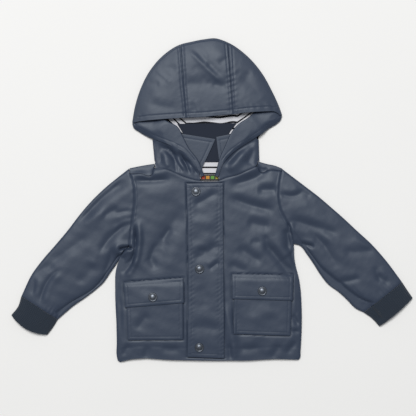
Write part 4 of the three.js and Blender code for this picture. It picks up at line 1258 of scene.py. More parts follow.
def half_turn(edge: Array, out: Array, radius: float, steps: int) -> Array:
    """Turns cloth over at the outline, from the upper layer down to the lower.

    Args:
        edge: Points of the outline, by x, y.
        out: Unit directions out of it.
        radius: Radius of the turn.
        steps: Steps round the half turn.

    Returns:
        Steps by points by x, y, z.
    """
    layers = []
    for angle in np.linspace(0, math.pi, steps + 1):
        reach = radius * math.sin(angle) - radius - CLOTH / 2
        plan = edge + out * reach
        layers.append(np.column_stack([plan, np.full(len(plan), LOWER + radius + radius * math.cos(angle))]))
    return np.array(layers)


def lower_layer(x: Array, _: Array) -> Array:
    """Returns the middle height of cloth that lies flat on the surface."""
    return np.full_like(x, LOWER)


def ring_plan(first: Array, last: Array, across: Array) -> tuple[Array, Array]:
    """Sets rings across a flat tube, clear of its two rolled edges.

    Args:
        first: Upper end of each ring, by x, y.
        last: Lower end of each ring.
        across: Shares of the way over the tube.

    Returns:
        Shares of each ring's whole width, and rings by points by x, y.
    """
    chord = last - first
    width = np.linalg.norm(chord, axis=1)[:, None]
    share = (TUBE_INSET + (width - 2 * TUBE_INSET) * across[None]) / width
    return share, first[:, None] + chord[:, None] * share[..., None]


def tube(over: Array, under: Array, chord: Array) -> Array:
    """Joins the two layers of a flat tube by half turns at both edges.

    Args:
        over: Upper layer, rings by points by x, y, z.
        under: Lower layer, walked the other way.
        chord: The way across each ring.

    Returns:
        Closed rings by points by x, y, z.
    """
    over[:, 0, 2] = over[:, -1, 2] = EDGE
    unit = chord / np.linalg.norm(chord, axis=1)[:, None]
    angles = np.linspace(0, math.pi, TUBE_STEPS + 1)[1:-1]
    turns = []
    for end, way, order in ((over[:, -1], 1, angles), (over[:, 0], -1, angles[::-1])):
        steps = []
        for angle in order:
            height = np.full(len(end), EDGE - TURN + TURN * math.cos(angle))
            steps.append(np.column_stack([end[:, :2] + way * unit * TURN * math.sin(angle), height]))
        turns.append(np.stack(steps, axis=1))
    return np.concatenate([over, turns[0], under, turns[1], over[:, :1]], axis=1)


class Side(Enum):
    """The two sides of the coat as it is seen."""

    LEFT = "left"
    RIGHT = "right"

    @property
    def sign(self) -> int:
        """Direction of this side along x."""
        return -1 if self is Side.LEFT else 1

    def outer_up(self, grid: Array) -> Array:
        """Returns a grid walked so that its outer side is up on this side of the coat."""
        return grid if self is Side.LEFT else grid[:, ::-1]


# How far the middle of a cuff's end reaches beyond its corners
CUFF_BOW = {Side.LEFT: 7.5, Side.RIGHT: 1.5}

# Tables of each side
SIDES = {
    Side.LEFT: {"side": SIDE_LEFT, "armhole": ARMHOLE_LEFT, "hem": HEM_LEFT, "seam": SHOULDER_SEAM_LEFT,
                "edge": SHOULDER_EDGE_LEFT, "neckline": NECKLINE_LEFT, "sleeve": SLEEVE_LEFT,
                "cuff": CUFF_LEFT, "band": BAND_LEFT, "neck": NECK_LEFT, "pocket": POCKET_LEFT,
                "flap": FLAP_LEFT},
    Side.RIGHT: {"side": SIDE_RIGHT, "armhole": ARMHOLE_RIGHT, "hem": HEM_RIGHT, "seam": SHOULDER_SEAM_RIGHT,
                 "edge": SHOULDER_EDGE_RIGHT, "neckline": NECKLINE_RIGHT, "sleeve": SLEEVE_RIGHT,
                 "cuff": CUFF_RIGHT, "band": BAND_RIGHT, "neck": NECK_RIGHT, "pocket": POCKET_RIGHT,
                 "flap": FLAP_RIGHT},
}


@dataclass
class Back(Piece):
    """The back, flat on the surface, and its shoulders turned over to the forward seams."""

    name: str = "back"
    flat: tuple[float, float] = (322.0, 345.0)
    area: float | None = 104000.0
    tail: float = 6.0

    def build(self) -> bpy.types.Object:
        """Builds the back.

        Returns:
            The piece.
        """
        left = Line.chain(Line(SIDE_LEFT, moved=-SEAM / 2), Line(ARMHOLE_LEFT, moved=-SEAM / 2))
        right = Line.chain(Line(SIDE_RIGHT, moved=SEAM / 2), Line(ARMHOLE_RIGHT, moved=SEAM / 2))
        bottom = Line.chain(Line(HEM_LEFT), Line(HEM_RIGHT))
        drop = np.array([0.0, TURN + CLOTH / 2])
        starts, shapes = [], []
        for side in (Side.LEFT, Side.RIGHT):
            outline = Line(SIDES[side]["edge"])
            share = np.linspace(0, 1, 24)
            plan = outline.at(share)
            ends = sorted([outline.points[0, 0], outline.points[-1, 0]])
            low = ends[0] + (SHOULDER_END if side is Side.LEFT else 0)
            high = ends[1] - (SHOULDER_END if side is Side.RIGHT else 0)
            plan[:, 0] = np.clip(plan[:, 0], low, high)
            starts.append(plan - drop)
            shapes.append(self._shoulder(side, plan, outline, share))
        top = Line(np.vstack([starts[0], NAPE, starts[1]]), straight=True)
        columns = spaced(300, 6, 6, 1.5, 4.0)
        flat = plan_grid(bottom, top, left, right, columns, spaced(330, 6, 2, 1.5, 4.0))
        mesh = SHOP.grid_mesh(raised(flat, lower_layer))
        for shape in shapes:
            SHOP.add_grid(mesh, shape)
        return self.declare(SHOP.finish(self.name, mesh, self.look, self.wall))

    def _shoulder(self, side: Side, plan: Array, outline: Line, share: Array) -> Array:
        """Turns one shoulder over to its seam.

        Args:
            side: Side of the coat.
            plan: Points of the outline, clear of the sleeve.
            outline: The outline.
            share: Shares of those points.

        Returns:
            Rows by columns by x, y, z.
        """
        turned = half_turn(plan, outline.normals_at(share), TURN, 8)
        seam = Line(SIDES[side]["seam"], moved=1.5 * SEAM).at(share)
        upper = []
        for t in np.linspace(0, 1, 12)[:-1]:
            there = mix(seam, turned[0][:, :2], t)
            height = mix(LAY.body(there[:, 0], there[:, 1]), EDGE, t)
            upper.append(np.column_stack([there, height]))
        tail = turned[-1] - np.array([0.0, self.tail, 0.0])
        return np.array([tail, *turned[::-1], *upper[::-1]])[:, ::-1]


def armhole_seam(side: Side) -> list[Relief]:
    """Returns the dip of an armhole seam and its puckers."""
    line = Line(SIDES[side]["armhole"])
    return [Groove(line, 1.8, 1.0), Ripple(line, 13, 0.22, 7, 0.6, 4 + side.sign)]


@dataclass
class Front(Piece):
    """One front, from the hem to the shoulder seam and the neck seam."""

    side: Side = Side.LEFT
    flat: tuple[float, float] = (148.0, 325.0)
    area: float | None = 39800.0
    roll: float = 4.5
    ridge: float = 3.4
    hem: float = 20.0

    def build(self) -> bpy.types.Object:
        """Builds the front with its side edge rolled down to meet the back.

        Returns:
            The piece.
        """
        table, left = SIDES[self.side], self.side is Side.LEFT
        shift = -SEAM / 2 if left else SEAM / 2
        side, armhole = Line(table["side"], moved=shift), Line(table["armhole"], moved=shift)
        outer = Line.chain(side, armhole)
        inner = Line(FRONT_EDGE, moved=-shift)
        seam, neckline = Line(table["seam"], moved=-SEAM / 2), Line(table["neckline"], moved=-SEAM / 2)
        top = Line.chain(seam, neckline) if left else Line.chain(neckline, seam)
        bottom = Line(table["hem"])
        across = spaced(140, 9, 5) if left else spaced(140, 5, 9)
        along = spaced(310, 6, 9, 0.9, 2.2)
        edges_in_order = (outer, inner) if left else (inner, outer)
        plan = plan_grid(bottom, top, *edges_in_order, across, along)
        points = raised(plan, self.top)
        x, y = plan[..., 0].ravel(), plan[..., 1].ravel()
        away = np.abs(Line(table["side"]).nearest(x, y)[0]).reshape(points.shape[:2])
        armpit = table["side"][-1][1]
        held = smooth((armpit + 10 - plan[..., 1]) / 20)
        curve = np.sqrt(np.clip(1 - (1 - np.clip(away / self.roll, 0, 1)) ** 2, 0, 1))
        meet = LOWER + CLOTH + SEAM
        points[..., 2] = mix(points[..., 2], meet + (points[..., 2] - meet) * curve, held)
        return self.make(points)

    def top(self, x: Array, y: Array) -> Array:
        """Returns the middle height with the dips of the seams round it."""
        table = SIDES[self.side]
        dips = [*armhole_seam(self.side),
                Groove(Line(table["neckline"]), 1.6, 0.8),
                Groove(Line(table["seam"]), 1.6, 1.3),
                Groove(Line(table["armhole"], moved=self.ridge * self.side.sign), 1.3, -0.35),
                Groove(Line([[x, y + self.hem] for x, y in table["hem"]]), 1.5, 0.3)]
        dips += [Groove(around(rows, 0.3), 1.3, 1.5) for rows in (STORM_FLAP, table["pocket"], table["flap"])]
        return LAY.body(x, y) + add_up(dips, x, y)


@dataclass
class Sleeve(Piece):
    """One sleeve, a flat tube from the armhole to the cuff seam."""

    side: Side = Side.LEFT
    flat: tuple[float, float] = (262.0, 250.0)
    area: float | None = 46500.0
    armpit: float = 1.2
    bowed: float = 4.0

    def head(self) -> Line:
        """Returns the armhole line that the sleeve follows, from the shoulder to the armpit."""
        sign, table = self.side.sign, SIDES[self.side]
        edge = table["edge"][0 if self.side is Side.LEFT else -1]
        armhole = Line(table["armhole"]).back().points + np.array([sign * SEAM, 0.0])
        armhole[-1] += [sign * self.armpit, self.armpit]
        return Line.through(np.vstack([[edge[0] + sign * SEAM / 2, edge[1]], armhole]))

    def build(self) -> bpy.types.Object:
        """Builds the sleeve as rings that run over the top and back underneath.

        Returns:
            The piece.
        """
        table = SIDES[self.side]
        head = self.head().points
        upper = Line([head[0], *[row[:2] for row in table["sleeve"]]])
        lower = Line([head[-1], *[row[2:] for row in table["sleeve"]]])
        along, across = spaced(245, 8, 4, 0.9, 2.2), spaced(110, 8, 8, 0.9, 2.2)
        share = (upper.row_share(along) + lower.row_share(along)) / 2
        first, last = upper.by_row(share), lower.by_row(share)
        straight = head[-1] - head[0]
        reached = (head - head[0]) @ straight / (straight @ straight)
        bow = head - head[0] - reached[:, None] * straight
        fade = np.clip(1 - along * len(table["sleeve"]) / self.bowed, 0, 1)[:, None] ** 1.5

        def place(t: Array) -> Array:
            """Returns plan points at shares t of every ring, bowed like the armhole beside it."""
            across_ring, plan = ring_plan(first, last, t)
            for axis in (0, 1):
                plan[..., axis] += np.interp(across_ring, reached, bow[:, axis]) * fade
            return plan

        over, under = raised(place(across), self.top), raised(place(across[::-1][::2]), lower_layer)
        return self.make(self.side.outer_up(tube(over, under, last - first)), merge=True)

    def top(self, x: Array, y: Array) -> Array:
        """Returns the middle height with the dip of the armhole seam and the gathers at the cuff."""
        cuff = SIDES[self.side]["cuff"][0]
        seam = Line([cuff[:2], cuff[2:]])
        dips = [*armhole_seam(self.side), Groove(seam, 3.0, 0.7),
                Ripple(seam, 8, 0.35, 11, 0.0, 21 + self.side.sign)]
        return LAY.body(x, y) + add_up(dips, x, y)


@dataclass
class Cuff(Piece):
    """One rib-knit cuff, a flat tube."""

    side: Side = Side.LEFT
    look: Look = Look.RIB
    slot: str = "rib_knit"
    flat: tuple[float, float] = (160.0, 36.0)
    ribs: int = 20
    rise: float = 0.7
    sunk: float = 0.35
    bulge: float = 0.5
    bulge_from: float = 0.2
    bow: float = 0.0

    def build(self) -> bpy.types.Object:
        """Builds the cuff as rings with ribs across them.

        Returns:
            The piece.
        """
        upper, lower = edges(SIDES[self.side]["cuff"])
        along, across = np.linspace(0, 1, 22), np.linspace(0, 1, self.ribs * 8 + 1)
        first, last = upper.at(along), lower.at(along)
        plan = ring_plan(first, last, across)[1]
        outward = np.diff(upper.at(np.array([0.0, 1.0])), axis=0)
        outward = outward / np.linalg.norm(outward)
        bow = self.bow * smooth(along)[:, None] * np.sin(math.pi * across)[None] ** 0.8
        plan = plan + outward * bow[..., None]
        rib = np.abs(np.sin(math.pi * across * self.ribs)) ** 0.7 * self.rise
        bulge = np.sin(math.pi * along)[:, None] * self.bulge
        bulge = bulge * smooth(across / self.bulge_from) * smooth((1 - across) / self.bulge_from)
        over = raised(plan, LAY.body)
        over[..., 2] += rib[None] - self.sunk + bulge
        under = plan[:, ::-1]
        floor = LOWER + (self.rise - rib[::-1]) * 0.7
        under = np.dstack([under, np.broadcast_to(floor, under.shape[:2])])
        return self.make(self.side.outer_up(tube(over, under, last - first)), merge=True)


@dataclass
class Hood:
    """The hood: three panels over the top, with the neck below the side ones."""

    seam_stitch: tuple[float, float] = (5.8, 3.6)
    brim_stitch: float = 7.5
    tail: float = 8.0
    seam_fade: float = 40.0

    def __post_init__(self) -> None:
        """Draws the lines that all panels share."""
        table = np.array(HOOD, dtype=float)
        self.brim, self.turn = Line(table[:, :2]), Line(table[:, 2:4])
        self.nape = Line(table[:, 4:6], straight=True)
        count = len(table) - 1
        self.marks = [0.0, HOOD_SEAM_COLUMNS[0] / count, HOOD_SEAM_COLUMNS[1] / count, 1.0]
        self.seams = [Line(np.vstack([line.by_row(np.array([mark])) for line in (self.brim, self.turn)]))
                      for mark in self.marks[1:3]]

    def stitch_lines(self) -> list[Line]:
        """Returns the two rows of topstitching beside each seam and the row above the brim."""
        near, far = self.seam_stitch[1], self.seam_stitch[0]
        rows = []
        for seam in self.seams:
            for way in (-1, 1):
                start, end = seam.at(np.array([0.02, 0.975]))
                rows.append(Line([[start[0] + way * near, start[1]], [end[0] + way * far, end[1]]]))
        brim = self.brim.by_row(np.linspace(0.03, 0.97, 15))
        rows.append(Line([[x, y + self.brim_stitch] for x, y in brim]))
        return rows

    def top(self, x: Array, y: Array) -> Array:
        """Gives the middle height with seams, topstitching and their puckers.

        Args:
            x: Plan x of the points.
            y: Plan y of the points.

        Returns:
            Height in millimetres.
        """
        rows = self.stitch_lines()
        parts = [Groove(seam, 1.5, 1.0) for seam in self.seams]
        parts += [Groove(row, 1.1, 0.55) for row in rows]
        parts += [Ripple(seam, 9.5, 0.42, 7, 0.3, 40 + index) for index, seam in enumerate(self.seams)]
        parts.append(Ripple(rows[-1], 11, 0.22, 6, 0.4, 47))
        return LAY.hood(x, y) + add_up(parts, x, y)

    def panel(self, start: float, end: float, inset: tuple[float, float]) -> Array:
        """Runs the cloth of a panel from the brim over the outline to the nape.

        Args:
            start: Row share at which it starts.
            end: Row share at which it ends.
            inset: How far its two edges are shifted along x.

        Returns:
            Rows by columns by x, y, z.
        """
        first, last = self.turn.length_share(np.array([start, end]))
        span = (last - first) * self.turn.length
        share = self.turn.row_share(first + (last - first) * spaced(span, 8, 8, 0.9, 2.0))
        near = sum(np.maximum(1 - np.abs(share - seam) * self.seam_fade, 0) for seam in (start, end))
        shift = (np.interp(share, [start, end], inset) * near)[:, None] * np.array([1.0, 0.0])
        brim, turn, nape = (line.by_row(share) + shift for line in (self.brim, self.turn, self.nape))
        turned = half_turn(turn, self.turn.normals_at(share), HOOD_TURN, 10)
        upper = layered(brim, turned[0][:, :2], spaced(110, 14, 4, 0.9, 2.0)[:-1], self.top)
        lower = layered(turned[-1][:, :2], nape, np.linspace(0, 1, 40)[1:], lower_layer)
        return np.array([*upper, *turned, *lower])

    def neck(self, side: Side) -> Array:
        """Runs the outside of the neck from its seam to below the band, turned over at the side.

        Args:
            side: Side of the coat.

        Returns:
            Rows by columns by x, y, z.
        """
        seam, under = edges(SIDES[side]["neck"])
        share = spaced(100, 3, 3, 0.9, 1.6)
        start, end = seam.by_row(share), under.by_row(share)
        grid = np.array(layered(start, end, spaced(45, 6, 3, 0.8, 1.6), self.neck_top(side)))
        outline = grid[:, 0, :2] + np.array([side.sign * (TURN + CLOTH / 2), 0.0])
        out = np.tile([side.sign * 1.0, 0.0], (len(outline), 1))
        turned = half_turn(outline, out, TURN, 8)
        tail = turned[-1] - np.array([side.sign * self.tail, -0.1, 0.0])
        layers = np.array([tail, *turned[::-1]]).transpose(1, 0, 2)
        return np.concatenate([layers, grid[:, 1:]], axis=1)

    def neck_top(self, side: Side) -> Height:
        """Returns the height of the neck's cloth with the puckers of its seam."""
        seam = Line(SIDES[side]["neckline"])
        parts = [Groove(seam, 1.6, 0.8), Ripple(seam, 9, 0.5 if side is Side.LEFT else 0.15, 14, 0.5, 60)]
        return lambda x, y: LAY.body(x, y) + add_up(parts, x, y)

    def build(self) -> list[bpy.types.Object]:
        """Builds the three panels.

        Returns:
            The pieces.
        """
        half = SEAM / 2
        facts = [
            ("hood_left", Side.LEFT, (0.0, -half), (150.0, 330.0), 30500.0),
            ("hood_centre", None, (half, -half), (82.0, 330.0), 23500.0),
            ("hood_right", Side.RIGHT, (half, 0.0), (150.0, 330.0), 29500.0),
        ]
        made = []
        for (name, side, inset, flat, area), start, end in zip(facts, self.marks[:-1], self.marks[1:]):
            mesh = SHOP.grid_mesh(self.panel(start, end, inset))
            if side:
                SHOP.add_grid(mesh, side.outer_up(self.neck(side)))
            panel = SHOP.finish(name, mesh, Look.COATED, CLOTH)
            made.append(Piece(name, flat=flat, area=area).declare(panel))
        made.append(Stitching("hood", self.stitch_lines(), lambda x, y: self.top(x, y) + CLOTH / 2).build())
        return made


@dataclass
class Band(Piece):
    """The hood's front edge turned out over the neck, topstitched along its finished edge."""

    side: Side = Side.LEFT
    wall: float = FACING
    flat: tuple[float, float] = (36.0, 145.0)
    area: float | None = 3400.0
    stitch: float = 6.0
    tip_rise: float = 6.5
    drop: float = 4.0
    drop_reach: float = 5.0
    floor: float = 4.4
    tip_reach: float = 13.0
    tip_end: float = 0.2
    tip_fade: float = 0.15
    under_end: float = 0.75
    under_fade: float = 0.3
    rolled: tuple[tuple[float, float], ...] = ((0.7, 0.15), (1.2, 0.55), (1.4, 1.1), (1.2, 1.7))

    def top(self, hood: Hood) -> Height:
        """Returns its middle height, low at the tip and held under the brim."""
        edge = edges(SIDES[self.side]["band"])[0]
        lifted = CLOTH / 2 + LAID + FACING / 2

        def height(x: Array, y: Array) -> Array:
            """Gives the height at points of the plan."""
            along = edge.nearest(x, y)[1] / edge.length
            tip = lifted + LOWER + self.tip_rise * swell(np.abs(edge.nearest(x, y)[0]) / self.tip_reach)
            neck = LAY.body(np.clip(x, *NECK_SPAN), y) + lifted
            over = mix(tip, neck, smooth((along - self.tip_end) / self.tip_fade))
            under = np.exp(-np.abs(hood.brim.nearest(x, y)[0]) / self.drop_reach)
            under = under * smooth((self.under_end - along) / self.under_fade)
            over = np.maximum(over - self.drop * under, np.minimum(over, self.floor))
            soft = Ripple(Line(edge.points[::12]), 17, 0.25, 10, 0.3, 70 + self.side.sign).height(x, y)
            return np.minimum(over + soft, LAY.hood(x, y) - lifted - 0.5)

        return height

    def build(self, hood: Hood) -> bpy.types.Object:
        """Builds the band and its topstitching.

        Args:
            hood: The hood that it belongs to.

        Returns:
            The piece.
        """
        edge, roll = edges(SIDES[self.side]["band"])
        along = edge.row_share(spaced(150, 3, 3, 0.9, 1.6))
        start, end = edge.by_row(along), roll.by_row(along)
        height, sewn = self.top(hood), self.stitch_line()
        dip = Groove(sewn, 1.0, 0.35)

        def dipped(x: Array, y: Array) -> Array:
            """Returns the middle height with the dip of its topstitching."""
            return height(x, y) + dip.height(x, y)

        columns = layered(start, end, spaced(26, 9, 3, 0.8, 1.4), dipped)
        inward = end - start
        inward /= np.linalg.norm(inward, axis=1)[:, None]
        for out, drop in self.rolled:
            columns.append(np.column_stack([end + inward * out, height(*end.T) - drop]))
        sewing = Stitching(self.name, [sewn], lambda x, y: dipped(x, y) + FACING / 2)
        return self.make(self.side.outer_up(np.array(columns)), sewing)

    def stitch_line(self) -> Line:
        """Returns where its topstitching runs."""
        edge, roll = edges(SIDES[self.side]["band"])
        share = np.linspace(0.03, 0.88, 12)
        start, end = edge.by_row(share), roll.by_row(share)
        width = np.linalg.norm(end - start, axis=1)[:, None]
        return Line(start + (end - start) * np.minimum(self.stitch / width, 0.6))


@dataclass
class SewnPiece(Piece):
    """A piece between two edge lines, with topstitching inside the edges that it names."""

    rows: Rows = ()
    sewn: tuple[str, ...] = ()
    margin: float = 6.0

    def __post_init__(self) -> None:
        """Draws its edges and the rows of its topstitching."""
        self.left, self.right = edges(self.rows)
        self.stitches = self._stitch_lines()

    def _make(self, plan: Array) -> bpy.types.Object:
        """Makes the piece over a plan grid, with its topstitching.

        Args:
            plan: Rows by columns by x, y.

        Returns:
            The piece.
        """
        sewing = Stitching(self.name, self.stitches, lambda x, y: self.height(x, y) + self.wall / 2)
        return self.make(raised(plan, self.height), sewing if self.stitches else None)


@dataclass
class FlatPiece(SewnPiece):
    """A piece that lies flat inside the neck: lining, collar or label."""

    middle: float = 3.0
    spacing: float = 1.8

    def _stitch_lines(self) -> list[Line]:
        """Returns where its topstitching runs, inside the edges that it names."""
        first, last = self.left.points[0], self.right.points[0]
        unit = (last - first) / np.linalg.norm(last - first)
        down = np.array([unit[1], -unit[0]]) * self.margin
        rows = []
        if "top" in self.sewn:
            rows.append(Line([first + down + unit * 4, last + down - unit * self.margin]))
        for name, line, way in (("left", self.left, 1), ("right", self.right, -1)):
            if name in self.sewn:
                points = line.at(np.linspace(self.margin / line.length, 0.8, 8))
                rows.append(Line([[x + way * self.margin, y] for x, y in points]))
        return rows

    def height(self, x: Array, y: Array) -> Array:
        """Returns its middle height, dipped at its topstitching."""
        return np.full_like(x, self.middle) + add_up([Groove(row, 1.1, 0.35) for row in self.stitches], x, y)

    def build(self) -> bpy.types.Object:
        """Builds the piece and its topstitching.

        Returns:
            The piece.
        """
        width = float(np.linalg.norm(self.right.points[0] - self.left.points[0]))
        u, v = (spaced(length, 3, 3, 0.9, self.spacing) for length in (width, self.left.length))
        share = self.left.row_share(v)
        start, end = self.left.by_row(share), self.right.by_row(share)
        return self._make(mix(start[:, None], end[:, None], u[None, :, None])[::-1])


@dataclass
class LaidPiece(SewnPiece):
    """A piece sewn on the fronts, which follows the folds beneath it."""

    wall: float = FACING
    rise: float = CLOTH / 2 + LAID + FACING / 2
    top_rise: float | None = None
    margin: float = 5.5
    puckers: float = 0.1
    sewn: tuple[str, ...] = ("left", "bottom", "right")
    extra: tuple[float, ...] = ()

    def __post_init__(self) -> None:
        """Draws its four edges and the rows of its topstitching."""
        self.upper, self.lower = (Line([row[:2], row[2:]]) for row in (self.rows[0], self.rows[-1]))
        super().__post_init__()

    def _stitch_lines(self) -> list[Line]:
        """Returns where its topstitching runs, inside the edges that it names."""
        rows, margin = [], self.margin
        for name, line, way in (("left", self.left, 1), ("right", self.right, -1)):
            if name in self.sewn:
                ends = np.linspace(margin / line.length, 1 - margin / line.length, 12)
                rows.append(Line([[x + way * margin, y] for x, y in line.at(ends)]))
        for name, line, way in (("top", self.upper, -1), ("bottom", self.lower, 1)):
            if name in self.sewn:
                ends = np.linspace(margin / line.length, 1 - margin / line.length, 6)
                rows.append(Line([[x, y + way * margin] for x, y in line.at(ends)]))
        for offset in self.extra:
            ends = np.linspace(0.005, 0.99, 12)
            rows.append(Line([[x - offset, y] for x, y in self.right.at(ends)]))
        return rows

    def height(self, x: Array, y: Array) -> Array:
        """Gives its middle height over the front, with its sewing.

        Args:
            x: Plan x of the points.
            y: Plan y of the points.

        Returns:
            Height in millimetres.
        """
        low, high = (line.at(np.array([0.5]))[0, 1] for line in (self.lower, self.upper))
        down = np.clip((high - y) / (high - low), 0, 1)
        top = self.rise if self.top_rise is None else self.top_rise
        rise = mix(top, self.rise, smooth(down / POCKET_TOP))
        parts = [Groove(row, 1.0, 0.22) for row in self.stitches]
        parts.append(Groove(around(self.rows, 0.0), 1.2, 0.5))
        parts += [Ripple(row, 7.5, self.puckers, 4.5, 0.6, 80 + index + len(self.name))
                  for index, row in enumerate(self.stitches)]
        return LAY.body(x, y) + rise + add_up(parts, x, y)

    def build(self) -> bpy.types.Object:
        """Builds the piece and its topstitching.

        Returns:
            The piece.
        """
        u = spaced(self.upper.length, 9, 9, 0.75, 1.8)
        v = spaced(self.left.length, 9, 9, 0.75, 1.8)
        return self._make(mix(self.left.at(v)[:, None], self.right.at(v)[:, None], u[None, :, None])[::-1])


@dataclass
class Snap:
    """A metal snap cap with a rim and a shallow dome."""

    name: str
    x: float
    y: float
    carrier: LaidPiece
    footing: float = 6.0
    steps: int = 48
    profile: tuple[tuple[float, float], ...] = (
        (0.0, 2.4), (1.5, 2.34), (2.8, 2.14), (3.9, 1.8), (4.6, 1.42), (4.95, 1.2), (5.2, 1.1), (5.5, 1.3),
        (5.9, 1.7), (6.5, 1.85), (7.0, 1.6), (7.35, 1.0), (7.5, 0.5), (7.45, 0.1), (7.1, 0.0), (0.0, 0.0),
    )

    def build(self) -> bpy.types.Object:
        """Builds the cap, square on the piece that it is fixed through.

        Returns:
            The piece.
        """
        step = self.footing
        xs = self.x + np.array([0.0, step, -step, 0.0, 0.0])
        ys = self.y + np.array([0.0, 0.0, 0.0, step, -step])
        middle, right, left, up, down = self.carrier.height(xs, ys) + self.carrier.wall / 2
        normal = Vector(((left - right) / (2 * step), (down - up) / (2 * step), 1.0)).normalized()
        seat = max(middle, (right + left + up + down) / 4) + SEAM
        mesh = bmesh.new()
        rings = [self._ring(mesh, radius * MM, height * MM) for radius, height in self.profile]
        for inner, outer in zip(rings[:-1], rings[1:]):
            for index in range(self.steps):
                corners = [inner[index - 1], outer[index - 1], outer[index], inner[index]]
                mesh.faces.new(list(dict.fromkeys(corners)))
        turn = Vector((0, 0, 1)).rotation_difference(normal).to_matrix().to_4x4()
        place = Matrix.Translation(Vector(SHOP.put([self.x, self.y, seat])))
        bmesh.ops.transform(mesh, matrix=place @ turn, verts=mesh.verts)
        piece = SHOP.finish(self.name, mesh, Look.METAL)
        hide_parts(self.name)
        return piece

    def _ring(self, mesh: bmesh.types.BMesh, radius: float, height: float) -> list[bmesh.types.BMVert]:
        """Adds the points of one ring of the cap, or a single point on its axis.

        Args:
            mesh: Mesh that they are added to.
            radius: Radius of the ring in metres.
            height: Its height in metres.

        Returns:
            A point for each step round the cap.
        """
        if not radius:
            return [mesh.verts.new((0.0, 0.0, height))] * self.steps
        points = []
        for angle in np.linspace(0, 2 * math.pi, self.steps, endpoint=False):
            points.append(mesh.verts.new((radius * math.cos(angle), radius * math.sin(angle), height)))
        return points


@dataclass
class Studio:
    """The pale surface, the soft light and the camera."""

    field_width: float = 686.4
    centre: tuple[float, float] = (-6.2, -13.0)
    focus: float = 5.0
    height: float = 1.9
    sensor: float = 36.0
    surface_half: float = 2.5
    sky: tuple[float, float, float, float] = (0.93, 0.96, 1.0, 1.0)
    sky_strength: float = 0.30
    light_place: tuple[float, float, float] = (-0.7, 2.35, 5.1)
    light_size: float = 2.4
    light_power: float = 268.0
    light_colour: Colour = (1.0, 0.985, 0.96)

    def build(self) -> None:
        """Builds the studio."""
        scene = bpy.context.scene
        scene.view_settings.view_transform = "Standard"
        self._surface()
        self._camera(scene)
        world = bpy.data.worlds.new("studio")
        world.use_nodes = True
        background = world.node_tree.nodes["Background"].inputs
        background["Color"].default_value = self.sky
        background["Strength"].default_value = self.sky_strength
        scene.world = world
        self._light()

    def _surface(self) -> None:
        """Lays the pale surface."""
        mesh = bmesh.new()
        bmesh.ops.create_grid(mesh, x_segments=4, y_segments=4, size=self.surface_half)
        data = bpy.data.meshes.new("surface")
        mesh.to_mesh(data)
        mesh.free()
        surface = bpy.data.objects.new("surface", data)
        data.materials.append(Look.SURFACE.material())
        bpy.context.scene.collection.objects.link(surface)

    def _camera(self, scene: bpy.types.Scene) -> None:
        """Hangs the camera straight above the middle of the photograph's field."""
        data = bpy.data.cameras.new("camera")
        data.sensor_width = self.sensor
        data.lens = self.sensor * self.height / (self.field_width * MM)
        camera = bpy.data.objects.new("camera", data)
        x, y, z = SHOP.put([*self.centre, self.focus])
        camera.location = (x, y, z + self.height)
        scene.collection.objects.link(camera)
        scene.camera = camera

    def _light(self) -> None:
        """Hangs a soft light, like a window, that points at the coat."""
        data = bpy.data.lights.new("window", "AREA")
        data.shape = "SQUARE"
        data.size, data.energy, data.color = self.light_size, self.light_power, self.light_colour
        light = bpy.data.objects.new("window", data)
        light.location = self.light_place
        light.rotation_euler = (-Vector(self.light_place)).to_track_quat("-Z", "Y").to_euler()
        bpy.context.scene.collection.objects.link(light)


def build_body() -> None:
    """Builds back, fronts, sleeves and cuffs."""
    Back().build()
    for side in Side:
        Front(f"front_{side.value}", side=side).build()
        Sleeve(f"sleeve_{side.value}", side=side).build()
        Cuff(f"cuff_{side.value}", side=side, bow=CUFF_BOW[side]).build()
        LOG.info("body, %s side", side.value)


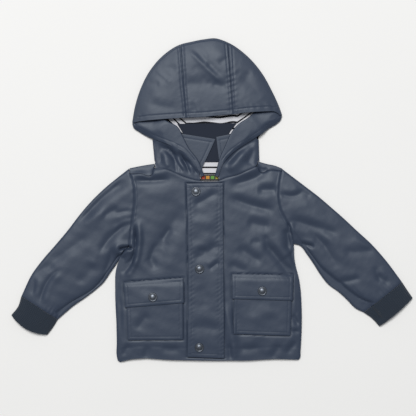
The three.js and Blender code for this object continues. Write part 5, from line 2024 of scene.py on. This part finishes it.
def build_neck() -> None:
    """Builds hood, bands and what shows inside the neck."""
    hood = Hood()
    hood.build()
    for side in Side:
        Band(f"hood_facing_{side.value}", side=side, rests_on=(f"hood_{side.value}",)).build(hood)
    lining = CLOTH + SEAM + JERSEY / 2
    collar_back = lining + JERSEY / 2 + SEAM + FACING / 2
    collar = collar_back + FACING + SEAM
    label = lining + JERSEY / 2 + SEAM + LABEL / 2
    coated, striped = (Look.COATED, "coated_cloth"), (Look.STRIPED, "striped_jersey")
    FlatPiece("hood_lining", *striped, JERSEY, (150, 131), 15500, rows=LINING, middle=lining).build()
    FlatPiece("collar_back", Look.NAVY, "navy_jersey", FACING, (98, 62), 4800, rows=COLLAR_BACK,
              middle=collar_back).build()
    FlatPiece("collar_left", *coated, FACING, (68, 66), 2300, rows=COLLAR_LEFT, middle=collar,
              sewn=("top", "right"), spacing=1.4).build()
    FlatPiece("collar_right", *coated, FACING, (36, 56), 900, rows=COLLAR_RIGHT, middle=collar,
              sewn=("top", "left"), spacing=1.4).build()
    FlatPiece("neck_lining", Look.NECK_STRIPED, striped[1], JERSEY, (40, 31.6), None, rows=NECK_LINING,
              middle=lining).build()
    FlatPiece("label", Look.LABEL, "woven_label", LABEL, (29.5, 10.5), None, rows=WOVEN_LABEL,
              middle=label).build()
    LOG.info("hood and neck")


def build_trim() -> None:
    """Builds storm flap, pockets and snaps."""
    storm = LaidPiece("storm_flap", wall=STORM, flat=(62, 287), rows=STORM_FLAP, margin=6.5, puckers=0.22,
                      rise=CLOTH / 2 + LAID + STORM / 2, sewn=("left", "bottom", "top"), extra=(2.8, 8.6))
    storm.build()
    pocket = CLOTH / 2 + LAID + FACING / 2
    flap = pocket + FACING + LAID
    flaps = {}
    for side, table in SIDES.items():
        LaidPiece(f"pocket_{side.value}", flat=(94, 81), rows=table["pocket"], rise=pocket).build()
        flaps[side] = LaidPiece(f"pocket_flap_{side.value}", flat=(99, 42), rows=table["flap"], rise=flap,
                                top_rise=pocket, sewn=("left", "bottom", "right", "top"))
        flaps[side].build()
    Snap("snap_top", -26, 14, storm).build()
    Snap("snap_middle", -20, -113.5, storm).build()
    Snap("snap_bottom", -20.5, -242.5, storm).build()
    Snap("snap_pocket_left", -97, -159.5, flaps[Side.LEFT]).build()
    Snap("snap_pocket_right", 83, -149.5, flaps[Side.RIGHT]).build()
    LOG.info("storm flap, pockets and snaps")


def main() -> None:
    """Builds the coat and its studio."""
    logging.basicConfig(level=logging.INFO)
    Studio().build()
    build_body()
    build_neck()
    build_trim()
    bpy.context.view_layer.update()


if __name__ == "__main__":
    main()
